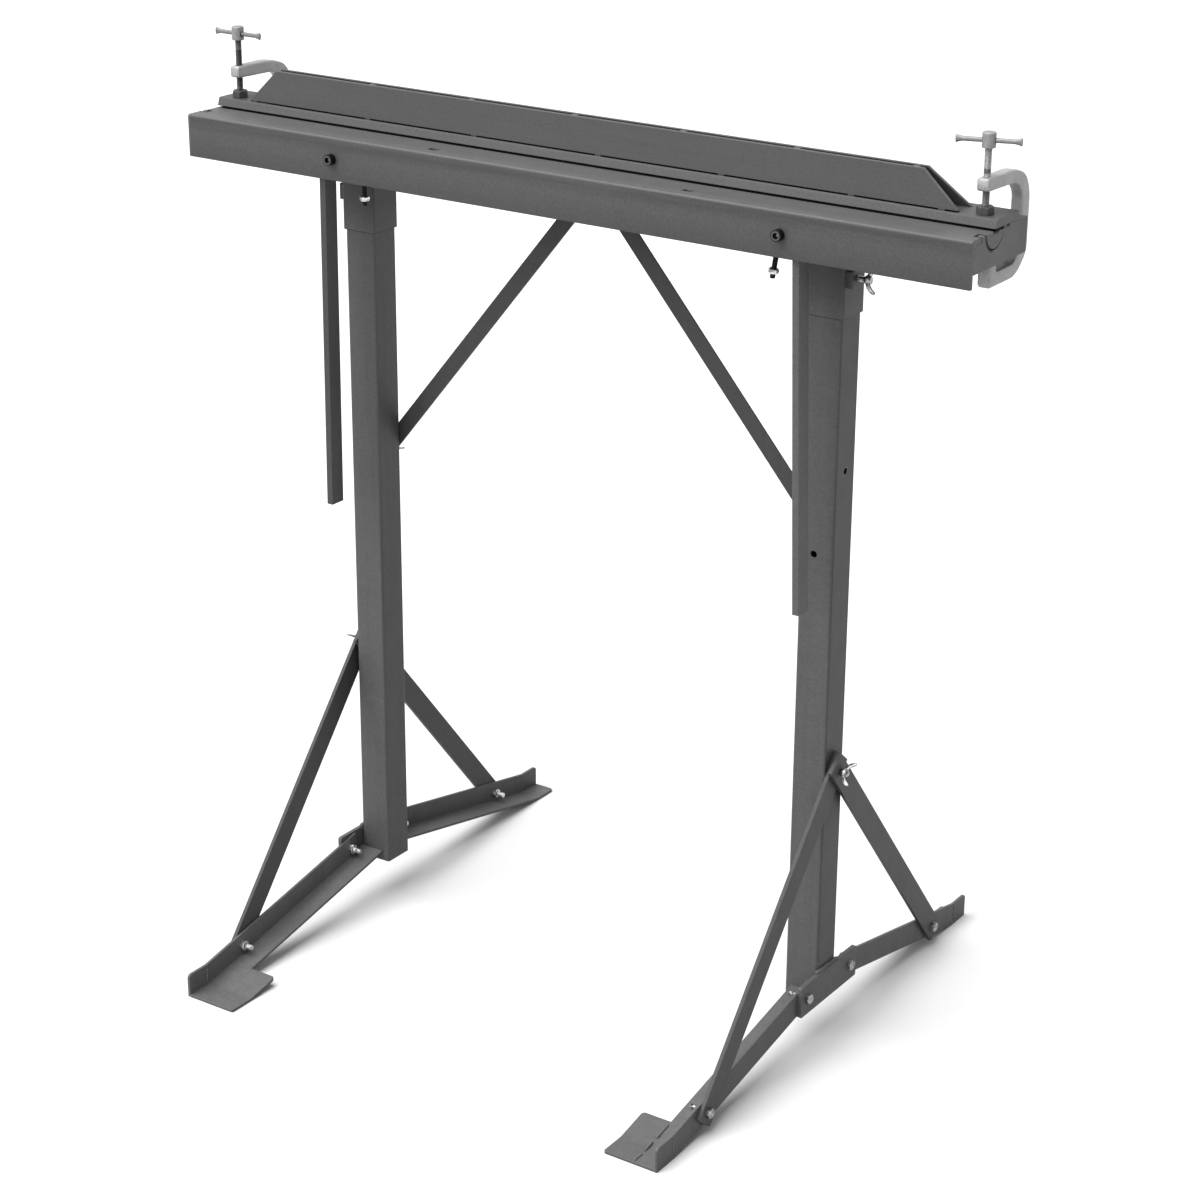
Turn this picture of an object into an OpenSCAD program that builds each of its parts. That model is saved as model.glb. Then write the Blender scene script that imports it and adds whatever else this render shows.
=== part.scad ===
// Hand folder for sheet metal: a bed on two legs, a folding leaf hinged along its front
// edge and a clamp bar held down by a screw clamp at each end.
// X runs along the bed, Y from the front to the back, Z up from the floor.
// The origin is on the floor, in the middle of the stand.

/* [Bed] */
// Length of the bed, the folding leaf and the clamp bar
beam_len = 1016; // [1004:1:1300]
// Width of the bed tube from front to back
bed_w = 70; // [66:0.5:80]
// Height of the bed tube
bed_h = 37.1; // [34:0.1:44]
// Wall of the bed tube
bed_wall = 3; // [2:0.5:4]
// Outer corner radius of the bed tube
bed_r = 2.5; // [1:0.5:4]
// How far the bed's front face stands ahead of the legs' middle
bed_ahead = 33; // [28:0.5:36]
// Thickness of the end plates
plate_t = 6; // [4:0.5:8]

/* [Hinge] */
// Depth of the hinge axis below the top of the bed
axis_below = 0.7; // [0.5:0.1:3]
// Distance of the hinge axis ahead of the bed's front face
axis_ahead = 2; // [1.5:0.1:4]
// Radius of the half-moon hinge lugs
lug_r = 18; // [14:0.5:20]
// Clearance between a lug and its notch
lug_gap = 1; // [0.8:0.1:1.2]
// How far the notch's middle lies ahead of the hinge axis
notch_ahead = 0.6; // [0:0.1:0.6]
// How far the notch's middle lies below the hinge axis
notch_below = 0.4; // [0:0.1:0.5]
// Width of the horn that stands in front of each notch
horn_w = 7; // [5:0.5:12]
// How far the horn stands above the leaf's top face
horn_up = 0.5; // [0.2:0.1:1.5]
// Gap between the swinging leaf and the end plates
leaf_gap = 0.3; // [0.2:0.1:0.6]

/* [Folding leaf] */
// Depth of the leaf's top flange, up to the folding edge
leaf_depth = 49; // [44:0.5:60]
// Height of the leaf's front flange
leaf_h = 49.7; // [42:0.1:60]
// How far the leaf's left end stands past the clamp bar
leaf_past = 2.5; // [0:0.1:4]
// Thickness of the leaf's flanges
leaf_t = 5; // [4:0.5:6]
// Outer corner radius of the leaf
leaf_r = 3; // [1:0.5:4]
// Depth of the leaf's top face below the hinge axis
leaf_below = 1; // [0.6:0.1:1.6]
// Diameter of the two holes in the top flange
leaf_hole_d = 8; // [5:0.5:10]
// Distance of each of those holes from the middle of the leaf
leaf_hole_x = 166.4; // [60:0.1:240]
// Distance of those holes behind the leaf's front face
leaf_hole_back = 18.6; // [13:0.1:28]

/* [Clamp bar] */
// Thickness of the clamp bar
bar_t = 9.5; // [8:0.5:12]
// Width of the clamp bar
bar_w = 50.8; // [46:0.1:60]
// How far the bar's nose leans back over its thickness
bar_bevel = 3.2; // [1:0.1:5]
// Distance of the bar's nose behind the hinge axis
nose_back = 0.7; // [0.3:0.1:1.5]
// Gap between the bar and the bed
bar_gap = 0.3; // [0.2:0.1:0.5]

/* [Stiffener] */
// Height of the stiffener's front plate
stiff_h = 39.5; // [30:0.5:50]
// Thickness of the stiffener's plates
stiff_t = 4; // [3:0.5:5]
// Distance of the front plate behind the bar's nose
stiff_back = 5.8; // [5:0.1:7]
// Distance of the stiffener's lower corners from the ends of the bar
stiff_inset = 45.3; // [44:0.1:60]
// Length that the sloping ends take off the top edge at each end
stiff_slope = 41.4; // [10:0.1:60]
// Width of the slot between the plates' top edges
slot_w = 5.5; // [3:0.1:8]
// How far the rear plate leans back over its height
stiff_lean = 19; // [10:0.5:20]
// Height of the gap under the front plate between its stitches
stitch_gap = 0.9; // [0.5:0.1:1.5]
// Length of one weld stitch
stitch_len = 7; // [4:0.5:12]
// Distances of the left stitches from the stiffener's left lower corner
stitch_left = [7.7, 174.7, 324.7];
// Distance of the middle stitch from the middle of the bar
stitch_mid = 28; // [10:1:60]
// Distances of the right stitches from the stiffener's right lower corner
stitch_right = [278.7, 122.7, 18.7];
// Distance between the tabs along the top slot
tab_pitch = 139.2; // [100:0.1:150]
// Offset of the middle tab from the middle of the bar
tab_offset = -7.4; // [-20:0.1:20]

/* [Screw clamps] */
// Distance of the clamps' middle plane from the ends of the beam
clamp_inset = 21; // [17:0.5:24]
// Width of the cast clamp frames
clamp_w = 14; // [11:0.5:18]
// Distance of the screw behind the bar's nose
screw_back = 16.8; // [14:0.1:20]
// Length of the clamp's nose ahead of the screw
nose_len = 9; // [7:0.5:11]
// Gap between the stiffener's top level and the underside of the upper arm, at the nut end
throat_up = 24; // [20:0.5:36]
// Height of the upper arm
arm_h = 13.5; // [10:0.5:18]
// Distance of the arm's rear shoulder ahead of the spine's back
shoulder_in = 36.5; // [30:0.5:42]
// How much lower the arm's underside is at the spine than at the nose
arm_drop = 2; // [0:0.5:4]
// Thickness of the spine behind the bed
spine_t = 17.5; // [10:0.5:20]
// Gap between the bed's back and the spine
spine_gap = 16; // [10:0.5:24]
// Height of the clamp's lower arm
lower_h = 16; // [12:0.5:18]
// Height of the foot that bears under the bed
foot_pad_h = 15.1; // [12:0.1:20]
// Depth of that foot from front to back
foot_pad_d = 14.5; // [9:0.5:16]
// Distance of that foot's front behind the screw
foot_pad_back = 4; // [0:0.5:10]
// Diameter of the clamp screw
screw_d = 8; // [5:0.1:9]
// Running clearance round a screw or a sliding bar
run_gap = 0.08; // [0.03:0.01:0.1]
// Height of the hub's underside above the clamp bar
hub_up = 67; // [60:0.5:80]
// Diameter of the hub
hub_d = 14.3; // [12:0.1:18]
// Height of the hub
hub_h = 16; // [12:0.5:20]
// Depth that the screw reaches into the hub
hub_socket = 2.5; // [1.5:0.1:3]
// Height of the cross bar above the hub's underside
cross_up = 7.5; // [6:0.5:10]
// Diameter of the cross bar
cross_d = 5; // [4:0.1:6]
// Length of the cross bar
cross_len = 67; // [50:0.5:75]
// Diameter of the cross bar's flared ends
cross_end_d = 8; // [6.2:0.1:9]
// How far the left cross bar is pushed in towards the middle
cross_slip = 0.5; // [0:0.5:10]
// Angle of the right cross bar to the bed
cross_turn = 17.5; // [0:0.1:40]
// Width across the flats of the nut on the bar
bar_nut_af = 16.2; // [13:0.1:17]
// Height of the nut on the bar
bar_nut_h = 8.5; // [6:0.5:12]

/* [Leg] */
// Width of the square leg tube
leg_w = 41.3; // [34:0.1:44]
// Wall of the leg tube
leg_wall = 2; // [1.5:0.1:3]
// Outer corner radius of the leg tube
leg_r = 3; // [2:0.5:4]
// Length of the leg
leg_len = 898.6; // [800:0.1:1000]
// Distance of each leg from the middle
leg_x = 310.4; // [290:0.1:330]
// How far the leg reaches below the inner ends of the feet
leg_drop = 10.37; // [5:0.01:14]
// Gap between the leg's top and the bed
leg_top_gap = 0.5; // [0.2:0.1:0.9]
// Clearance between the leg and its collar
collar_gap = 0.15; // [0.1:0.05:0.5]
// Wall of the collar
collar_wall = 2; // [1.5:0.1:4]
// Length of the collar
collar_len = 87.6; // [70:0.1:110]
// Diameter of the spare holes in the leg
leg_hole_d = 8; // [6:0.5:10]
// Height of the spare hole in the leg's outer face above the leg's lower end
spare_up = 638.8; // [600:0.1:700]
// Height of the hole in the right leg's front face above the leg's lower end
front_hole_up = 545; // [520:0.5:570]
// How far that hole lies inwards of the leg's middle
front_hole_in = 3; // [0:0.5:6]

/* [Collar screw] */
// Thickness of the tapped block on the collar
block_t = 7; // [5:0.5:10]
// Width of the block
block_w = 26; // [20:0.5:32]
// Height of the block
block_h = 19; // [14:0.5:26]
// Height of the block above the collar's lower end
block_up = 33; // [10:0.5:50]
// Distance of the block ahead of the leg's middle
block_ahead = 5; // [0:0.5:6]
// Diameter of the wing screws, studs and small bolts
bolt_d = 6.35; // [5:0.05:7]
// Length of the wing screw between the block and its wings
wing_neck = 8.5; // [5:0.5:12]
// Turn of the wings, from upright towards the back
wing_screw_turn = 18; // [0:1:90]

/* [Feet] */
// Distance of the feet's tips from the middle
foot_tip = 354; // [330:0.5:400]
// Length of the flat end that lies on the floor
foot_flat = 34; // [25:0.5:50]
// Slope of the foot, in degrees
foot_slope = 11.5; // [9:0.1:13]
// Width of the foot's lower flange
foot_w = 32; // [28:0.5:36]
// Height of the foot's upright flange
foot_h = 29; // [27:0.5:36]
// Thickness of the foot's flanges
foot_t = 3.2; // [2.5:0.1:5]
// Radius of the bend where a foot lies down flat
bend_r = 30; // [20:1:40]
// Gap between the foot's inner end and the leg
foot_end_gap = 0.8; // [0.3:0.1:0.9]
// How far the upright flange stops short of the leg
flange_cut = 17; // [2:0.5:20]
// Width of the pad plate welded to a front foot
pad_w = 36.5; // [20:0.5:50]
// Length of the pad plate
pad_len = 77.5; // [60:0.5:90]
// Corner radius of the tips
tip_r = 5; // [2:0.5:8]
// Half length of the base bracket
bracket_half = 62.9; // [58:0.1:80]
// Height of the base bracket
bracket_h = 38.4; // [36:0.1:44]
// Thickness of the base bracket
bracket_t = 5; // [3:0.5:6]
// Distance of the base bracket's bolts from the middle
bracket_bolt_y = 48; // [40:0.5:52]

/* [Struts and braces] */
// Width of the struts
strut_w = 28; // [20:0.5:30]
// Thickness of the struts
strut_t = 4.7; // [3:0.1:6]
// Thickness of the braces and of their tab
flat_t = 3.2; // [2.5:0.1:4]
// How far a strut reaches past the stud on the leg
strut_past = 19; // [14:0.5:20]
// How far a strut reaches past its bolt at the foot
strut_past_foot = 13; // [10:0.5:19]
// Height of the struts' upper bolt above the leg's lower end
strut_up = 286.5; // [250:0.5:340]
// Distance of the struts' lower bolts from the middle
strut_foot_y = 258; // [230:0.5:280]
// Gap between the two struts where they cross
strut_gap = 0.3; // [0.25:0.05:0.5]
// Turn of the left strut's wing nut, from upright towards the front
left_nut_turn = 64; // [0:1:90]
// Turn of the right strut's wing nut, from upright towards the back
right_nut_turn = 46; // [0:1:90]
// Width of the braces
brace_w = 18.5; // [16:0.5:24]
// Turn of the right brace's wing nut, from level
brace_nut_turn = 80; // [0:1:90]
// Height of the braces' lower bolt above the leg's lower end
brace_up = 533.5; // [500:0.5:590]
// How far a brace reaches past its bolts
brace_past = 10; // [8:0.5:12]
// Half the distance between the braces' upper bolts
brace_top_x = 18; // [18:0.5:26]
// How far their tab lies to the left of the middle
tab_left = 7; // [0:0.5:20]
// Depth of those bolts below the bed
brace_top_below = 17; // [17:0.5:24]
// Clearance between a bolt and its hole
hole_gap = 0.2; // [0.1:0.05:0.4]
// Width across the flats of the bolts and nuts
bolt_af = 11.1; // [9.5:0.1:12]
// Height of a bolt head
head_h = 4.2; // [3:0.1:5]
// Height of a nut
nut_h = 5.3; // [4:0.1:6]
// Length of bolt that shows past its nut
bolt_past = 5.5; // [2:0.5:9]

/* [Handles] */
// Thickness of the handle bars, along the bed
handle_t = 8; // [6:0.5:10]
// Width of the handle bars
handle_w = 20; // [16:0.5:22]
// Length of the handle bars
handle_len = 428; // [380:1:480]
// Distance of the handle's top below the leaf's top face
handle_below = 12; // [9:0.5:14]
// How much lower the left handle hangs
handle_low_left = 5; // [0:0.5:10]
// Distance of the left handle's inner face from the middle
handle_x_left = 312.9; // [306:0.1:320]
// Distance of the right handle's inner face from the middle
handle_x_right = 301.3; // [301:0.1:310]
// Lean of the left handle, outwards at its foot
handle_lean_left = 0.5; // [0:0.1:2]
// Lean of the right handle, outwards at its foot
handle_lean_right = 2; // [0:0.1:3]
// Size of the short angle that carries the handle
carrier_w = 30; // [26:0.5:34]
// Thickness of that angle
carrier_t = 5; // [4:0.5:6]
// Distance of its inner end from the middle
carrier_x = 261; // [250:0.5:262]
// Distance of the left cap screw from the middle
cap_x_left = 297; // [288:0.1:299]
// Distance of the right cap screw from the middle
cap_x_right = 289.6; // [287:0.1:291]
// Depth of the cap screw below the leaf's top face
cap_below = 25; // [22:0.5:27]
// Diameter of the cap screw
cap_d = 8; // [6:0.5:10]
// Diameter of the cap screw's head
cap_head_d = 12.7; // [12:0.1:15]
// Height of the cap screw's head
cap_head_h = 8; // [6:0.1:10]
// Diameter of the hanging stop bolt
stop_d = 6; // [5:0.5:6.5]
// Distance of the stop bolt's nut from the middle
stop_x = 269.6; // [268:0.1:271]
// Distance of the stop bolts behind the leaf's front face
stop_back = 24; // [19:0.5:27]
// Depth of the stop bolt's tip below the leaf's top face
stop_tip = 79; // [66:0.5:90]
// Lean of the right stop bolt
stop_lean_right = 9; // [0:0.5:9]

/* [Hidden] */
$fn = 48;
fine = 96;
slack = 1;
seat_gap = 0.05;

foot_bend = foot_tip - foot_flat;
function foot_z(y) = (foot_bend - y) * tan(foot_slope);
function cap_x(side) = side > 0 ? cap_x_right : cap_x_left;
foot_side = leg_x + leg_w / 2;
leg_z = foot_z(leg_w / 2) - leg_drop;
bed_z = leg_z + leg_len + leg_top_gap;
bed_top = bed_z + bed_h;
bed_front_y = -bed_ahead;
bed_back_y = bed_front_y + bed_w;
half = beam_len / 2;
plate_in = half - plate_t;

axis_y = bed_front_y - axis_ahead;
axis_z = bed_top - axis_below;
notch_r = lug_r + lug_gap;
notch_y = axis_y - notch_ahead;
notch_z = axis_z - notch_below;
horn_y = notch_y - notch_r - horn_w;

leaf_top = axis_z - leaf_below;
leaf_front = axis_y - leaf_depth;
leaf_bottom = leaf_top - leaf_h;
leaf_back_face = leaf_front + leaf_t;

bar_z = bed_top + bar_gap;
bar_top = bar_z + bar_t;
nose_y = axis_y + nose_back;
stiff_y = nose_y + stiff_back;
stiff_half = half - stiff_inset;
stitch_x = concat([for (d = stitch_left) d - stiff_half], [stitch_mid],
    [for (d = stitch_right) stiff_half - d]);
tab_reach = stiff_half - stiff_slope - stitch_len;

clamp_x = half - clamp_inset;
screw_y = nose_y + screw_back;
arm_z = bar_top + throat_up;
hub_z = bar_top + hub_up;
cross_z = hub_z + cross_up;
spine_y = bed_back_y + spine_gap;
clamp_front = screw_y - nose_len;
clamp_back = spine_y + spine_t;
pad_y = screw_y + foot_pad_back;
lower_z = bed_z - foot_pad_h;
reach_left = cross_len / 2 - cross_slip;
cross_rim = 0.8;
cross_slip_right = cross_len / 2 - cross_rim
    - (reach_left - cross_rim - (cross_end_d / 2 - cross_rim) * sin(cross_turn)) / cos(cross_turn);

collar_half = leg_w / 2 + collar_gap + collar_wall;
block_z = bed_z - collar_len + block_up;
block_x = leg_x + collar_half;
wing_screw_z = block_z + block_h / 2;

strut_z = leg_z + strut_up;
strut_foot_z = foot_z(strut_foot_y) + foot_h / 2;
strut_run = norm([strut_foot_y, strut_z - strut_foot_z]);
strut_angle = atan2(strut_z - strut_foot_z, strut_foot_y);
strut_out = foot_side + strut_t + strut_gap;
strut_swing = asin((strut_out - foot_side - seat_gap) / (strut_run + strut_past_foot));
bracket_bolt_z = foot_z(bracket_bolt_y) + foot_h / 2;

brace_z = leg_z + brace_up;
brace_top_z = bed_z - brace_top_below;
brace_y = leg_w / 2;

carrier_top = leaf_top - handle_below + 2;
carrier_bottom = carrier_top - carrier_w;
handle_front = leaf_back_face + 2;
stop_y = leaf_front + stop_back;
stop_z = leaf_top - stop_tip;
stop_nut_z = stop_z + 5.5;
stop_head_d = stop_d + 4;

paint = [0.37, 0.37, 0.38];
casting = [0.66, 0.66, 0.66];
zinc = [0.78, 0.78, 0.77];
blacked = [0.08, 0.08, 0.08];
steel = [0.45, 0.45, 0.44];

// Outline with the corners [x, y, radius] rounded
function unit(v) = v / norm(v);
function turned(a) = a > 180 ? a - 360 : a < -180 ? a + 360 : a;
function arc_points(c, r, from, sweep, steps) =
    [for (k = [0:steps]) c + r * [cos(from + sweep * k / steps), sin(from + sweep * k / steps)]];
function corner(p, u, v, r, steps) =
    let (inner = acos(u * v) / 2,
         c = p + unit(u + v) * r / sin(inner),
         s = p + u * r / tan(inner) - c,
         e = p + v * r / tan(inner) - c,
         from = atan2(s.y, s.x))
    arc_points(c, r, from, turned(atan2(e.y, e.x) - from), steps);
function rounded(pts, steps = 6) = [
    for (i = [0:len(pts) - 1])
        let (n = len(pts),
             p = [pts[i].x, pts[i].y],
             a = pts[(i + n - 1) % n],
             b = pts[(i + 1) % n])
        each pts[i][2] == 0 ? [p]
            : corner(p, unit([a.x, a.y] - p), unit([b.x, b.y] - p), pts[i][2], steps)];

// An outline drawn in Y and Z, pushed along X from x0 to x1
module along_x(x0, x1) {
    translate([x0, 0, 0]) rotate([90, 0, 90]) linear_extrude(x1 - x0) children();
}

// An outline drawn in X and Z, pushed along Y from y0 to y1
module along_y(y0, y1) {
    translate([0, y1, 0]) rotate([90, 0, 0]) linear_extrude(y1 - y0) children();
}

module rod_x(d, x0, x1, y, z, sides = $fn) {
    translate([x0, y, z]) rotate([0, 90, 0]) cylinder(d = d, h = x1 - x0, $fn = sides);
}

module rod_y(d, y0, y1, x, z, sides = $fn) {
    translate([x, y0, z]) rotate([-90, 0, 0]) cylinder(d = d, h = y1 - y0, $fn = sides);
}

// What is modelled for the right end serves the left end as its mirror image
module at_end(side) {
    if (side > 0) children();
    else mirror([1, 0, 0]) children();
}

// What is modelled for the front serves the rear as its mirror image
module at_front(front) {
    if (front) children();
    else mirror([0, 1, 0]) children();
}

module square_tube(w, d, r, wall, h) {
    linear_extrude(h) difference() {
        rounded_square(w, d, r);
        rounded_square(w - 2 * wall, d - 2 * wall, max(r - wall, 0.5));
    }
}

module rounded_square(w, d, r) {
    x = w / 2;
    y = d / 2;
    polygon(rounded([[-x, -y, r], [x, -y, r], [x, y, r], [-x, y, r]]));
}

module hex(af, h) {
    cylinder(d = af / cos(30), h = h, $fn = 6);
}

// Bed: a rectangular tube, closed by a plate at each end
module bed() {
    color(paint) difference() {
        translate([0, bed_front_y + bed_w / 2, bed_z + bed_h / 2]) rotate([90, 0, 90])
            translate([0, 0, -plate_in]) square_tube(bed_w, bed_h, bed_r, bed_wall, 2 * plate_in);
        for (side = [-1, 1]) at_end(side)
            rod_x(2 * notch_r, plate_in - 2 * leaf_gap, plate_in + slack, notch_y, notch_z, fine);
    }
}

// End plate, with the notch that the half-moon lug turns in and the horn in front of it
module end_plate(side) {
    front = leaf_back_face + leaf_gap;
    step_z = leaf_top - leaf_t - leaf_gap;
    horn_top = leaf_top + horn_up;
    color(paint) at_end(side) difference() {
        along_x(plate_in, half) polygon(rounded([
            [front, bed_z, 1.5], [bed_back_y, bed_z, 2.5], [bed_back_y, bed_top, 1],
            [axis_y, bed_top, 0], [axis_y, horn_top, 0], [horn_y, horn_top, 2.5],
            [horn_y, step_z, 1], [front, step_z, 1.5]]));
        rod_x(2 * notch_r, plate_in - slack, half + slack, notch_y, notch_z, fine);
        translate([plate_in - slack, notch_y - notch_r, notch_z - leaf_below])
            cube([plate_t + 2 * slack, 2 * notch_r, 2 * notch_r]);
    }
}

// Tab under the middle of the bed that the braces bolt to
module brace_tab() {
    reach = brace_top_x + 12;
    color(paint) translate([-tab_left, 0, 0]) difference() {
        along_y(brace_y - flat_t, brace_y) polygon(rounded([
            [-reach, bed_z, 0], [reach, bed_z, 0],
            [reach, brace_top_z - 12, 6], [-reach, brace_top_z - 12, 6]]));
        for (side = [-1, 1])
            rod_y(bolt_d + 2 * hole_gap, brace_y - flat_t - slack, brace_y + slack,
                side * brace_top_x, brace_top_z);
    }
}

// C-shaped cast frame: its foot bears under the bed and its nose carries the screw
module clamp_frame(side) {
    out = clamp_back;
    color(casting) at_end(side) difference() {
        intersection() {
            along_x(clamp_x - clamp_w / 2, clamp_x + clamp_w / 2) polygon(rounded([
                [clamp_front, arm_z, 2], [clamp_front, arm_z + arm_h, 2],
                [out - shoulder_in, arm_z + arm_h - 0.5, 12], [out - 11, arm_z + 4.5, 10],
                [out, arm_z - 16, 10], [out, lower_z + 6, 8],
                [out - 22, lower_z - lower_h, 14], [pad_y, lower_z - lower_h, 4],
                [pad_y, bed_z, 0.8], [pad_y + foot_pad_d, bed_z, 0.8],
                [pad_y + foot_pad_d + 1, lower_z, 3], [spine_y - 12, lower_z, 6],
                [spine_y, lower_z + 12, 6], [spine_y, arm_z - 16, 6],
                [spine_y - 13, arm_z - arm_drop, 8]]));
            translate([clamp_x, (clamp_front + out) / 2, lower_z - lower_h - slack])
                linear_extrude(arm_z + arm_h + 2 - lower_z + lower_h + 2 * slack)
                    rounded_square(clamp_w, out - clamp_front, 3);
        }
        translate([clamp_x, screw_y, arm_z - slack])
            cylinder(d = screw_d + 2 * run_gap, h = arm_h + 2 * slack);
    }
}

// Folding leaf: an angle whose top flange is cut back at each end, round the horn and the lug
module leaf() {
    color(paint) difference() {
        along_x(-half - leaf_past, half) polygon(rounded([
            [leaf_front, leaf_bottom, 1], [leaf_back_face, leaf_bottom, 1],
            [leaf_back_face, leaf_top - leaf_t, 2.5], [axis_y, leaf_top - leaf_t, 0],
            [axis_y, leaf_top, 0.5], [leaf_front, leaf_top, leaf_r]]));
        for (side = [-1, 1]) at_end(side) {
            translate([plate_in - leaf_gap, horn_y - leaf_gap, leaf_top - leaf_t - slack])
                cube([plate_t + leaf_gap + leaf_past + slack, leaf_depth, leaf_t + 2 * slack]);
            translate([leaf_hole_x, leaf_front + leaf_hole_back, leaf_top - leaf_t - slack])
                cylinder(d = leaf_hole_d, h = leaf_t + 2 * slack);
            rod_y(cap_d + 2 * hole_gap, leaf_front - slack, leaf_back_face + slack,
                cap_x(side), leaf_top - cap_below);
        }
    }
}

// Half-moon lug, welded to the cut-back end of the top flange
module hinge_lug(side) {
    color(paint) at_end(side) intersection() {
        rod_x(2 * lug_r, plate_in - leaf_gap, half, axis_y, axis_z, fine);
        translate([plate_in - slack, axis_y - lug_r, axis_z - lug_r])
            cube([plate_t + 2 * slack, 2 * lug_r, lug_r - leaf_below]);
    }
}

// Flat handle bar; it hangs with a slight lean
module handle(side) {
    x = side > 0 ? handle_x_right : handle_x_left;
    lean = side > 0 ? handle_lean_right : handle_lean_left;
    low = side > 0 ? 0 : handle_low_left;
    color(paint) at_end(side)
        translate([x, handle_front, carrier_bottom]) rotate([0, -lean, 0])
            translate([0, 0, leaf_top - handle_below - low - carrier_bottom - handle_len])
                cube([handle_t, handle_w, handle_len]);
}

// Short angle behind the leaf: the cap screw holds it, the handle is welded to its end
module handle_carrier(side) {
    x = side > 0 ? handle_x_right : handle_x_left;
    lean = side > 0 ? handle_lean_right : handle_lean_left;
    stop_lean = side > 0 ? stop_lean_right : 0;
    hang_x = stop_x + (carrier_bottom + carrier_t / 2 - stop_nut_z) * tan(stop_lean);
    color(paint) at_end(side) difference() {
        along_x(carrier_x, x + carrier_t) polygon([
            [leaf_back_face, carrier_bottom], [leaf_back_face + carrier_w, carrier_bottom],
            [leaf_back_face + carrier_w, carrier_bottom + carrier_t],
            [leaf_back_face + carrier_t, carrier_bottom + carrier_t],
            [leaf_back_face + carrier_t, carrier_top], [leaf_back_face, carrier_top]]);
        translate([x, leaf_back_face - slack, carrier_bottom]) rotate([0, -lean, 0])
            translate([0, 0, -carrier_w])
                cube([2 * carrier_w, carrier_w + 2 * slack, 3 * carrier_w]);
        rod_y(cap_d, leaf_back_face - slack, leaf_back_face + carrier_t + slack,
            cap_x(side), leaf_top - cap_below);
        translate([hang_x, stop_y, carrier_bottom - slack])
            cylinder(d = stop_d + 1.4, h = carrier_t + 2 * slack);
    }
}

// Hexagon socket cap screws that hold the handle carriers
module cap_screws() {
    color(blacked) for (side = [-1, 1]) at_end(side) difference() {
        union() {
            rod_y(cap_head_d, leaf_front - cap_head_h, leaf_front, cap_x(side), leaf_top - cap_below);
            rod_y(cap_d, leaf_front - slack, leaf_back_face + carrier_t + 6,
                cap_x(side), leaf_top - cap_below);
        }
        rod_y(7, leaf_front - cap_head_h - slack, leaf_front - cap_head_h / 2,
            cap_x(side), leaf_top - cap_below, 6);
    }
}

// One hanging stop bolt, in the frame of its nut
module hang(side) {
    lean = side > 0 ? stop_lean_right : 0;
    at_end(side) translate([stop_x, stop_y, stop_nut_z]) rotate([0, lean, 0]) children();
}

module stop_bolts() {
    above = carrier_bottom + carrier_t - stop_nut_z;
    color(blacked) for (side = [-1, 1]) hang(side) {
        lean = side > 0 ? stop_lean_right : 0;
        seat = above / cos(lean) + stop_head_d / 2 * tan(lean) + seat_gap;
        translate([0, 0, stop_z - stop_nut_z]) cylinder(d = stop_d, h = seat + stop_nut_z - stop_z);
        translate([0, 0, seat]) cylinder(d = stop_head_d, h = stop_d);
    }
}

module stop_nuts() {
    color(zinc) for (side = [-1, 1]) hang(side) difference() {
        hex(10, 5);
        translate([0, 0, -slack]) cylinder(d = stop_d, h = 5 + 2 * slack);
    }
}

// Clamp bar: flat bar with a leaning nose
module clamp_bar() {
    back = nose_y + bar_w;
    color(paint) along_x(-half, half) polygon(rounded([
        [nose_y, bar_z, 0.4], [back, bar_z, 0.8], [back, bar_top, 0.8],
        [nose_y + bar_bevel, bar_top, 0.8]]));
}

// Outline of the stiffener seen from the front, with its sloping ends
module stiffener_outline(z0, z1) {
    top = stiff_half - stiff_slope;
    polygon([[-stiff_half, z0], [stiff_half, z0], [top, z1], [-top, z1]]);
}

// Front plate of the stiffener, standing on its weld stitches
module stiffener_front() {
    color(paint) {
        along_y(stiff_y, stiff_y + stiff_t)
            stiffener_outline(bar_top + stitch_gap, bar_top + stiff_h);
        for (x = stitch_x)
            translate([x - stitch_len / 2, stiff_y, bar_top])
                cube([stitch_len, stiff_t, 2 * stitch_gap]);
    }
}

// Rear plate: it leans back from the top slot, whose tabs tie it to the front plate
module stiffener_rear() {
    y = stiff_y + stiff_t + slot_w;
    top = bar_top + stiff_h;
    color(paint) {
        intersection() {
            along_x(-half, half) polygon([
                [y + stiff_lean, bar_top], [y + stiff_lean + stiff_t, bar_top],
                [y + stiff_t, top + 0.5], [y, top + 0.5]]);
            along_y(stiff_y, y + 2 * stiff_lean) stiffener_outline(bar_top, top + 0.5);
        }
        for (i = [ceil((-tab_reach - tab_offset) / tab_pitch) : floor((tab_reach - tab_offset) / tab_pitch)])
            translate([tab_offset + i * tab_pitch - stitch_len / 2, stiff_y + stiff_t, top - 3.5])
                cube([stitch_len, slot_w + stiff_t / 2, 3]);
    }
}

// Hexagon nut welded to the clamp bar, which the end of the screw turns in
module bar_nut(side) {
    color(paint) at_end(side) translate([clamp_x, screw_y, bar_top]) difference() {
        hex(bar_nut_af, bar_nut_h);
        translate([0, 0, -slack]) cylinder(d = screw_d + 2 * run_gap, h = bar_nut_h + 2 * slack);
    }
}

// Clamp screw, from its seat on the bar up into the hub
module clamp_screw(side) {
    color(steel) at_end(side) translate([clamp_x, screw_y, bar_top + run_gap])
        cylinder(d = screw_d, h = hub_z + hub_socket - bar_top - run_gap);
}

// The cross bar's own frame: X along the bar, with its middle at the origin
module on_cross_bar(side) {
    angle = side > 0 ? cross_turn : 0;
    slip = side > 0 ? -cross_slip_right : cross_slip;
    translate([side * clamp_x, screw_y, cross_z]) rotate([0, 0, angle]) translate([slip, 0, 0])
        children();
}

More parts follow.
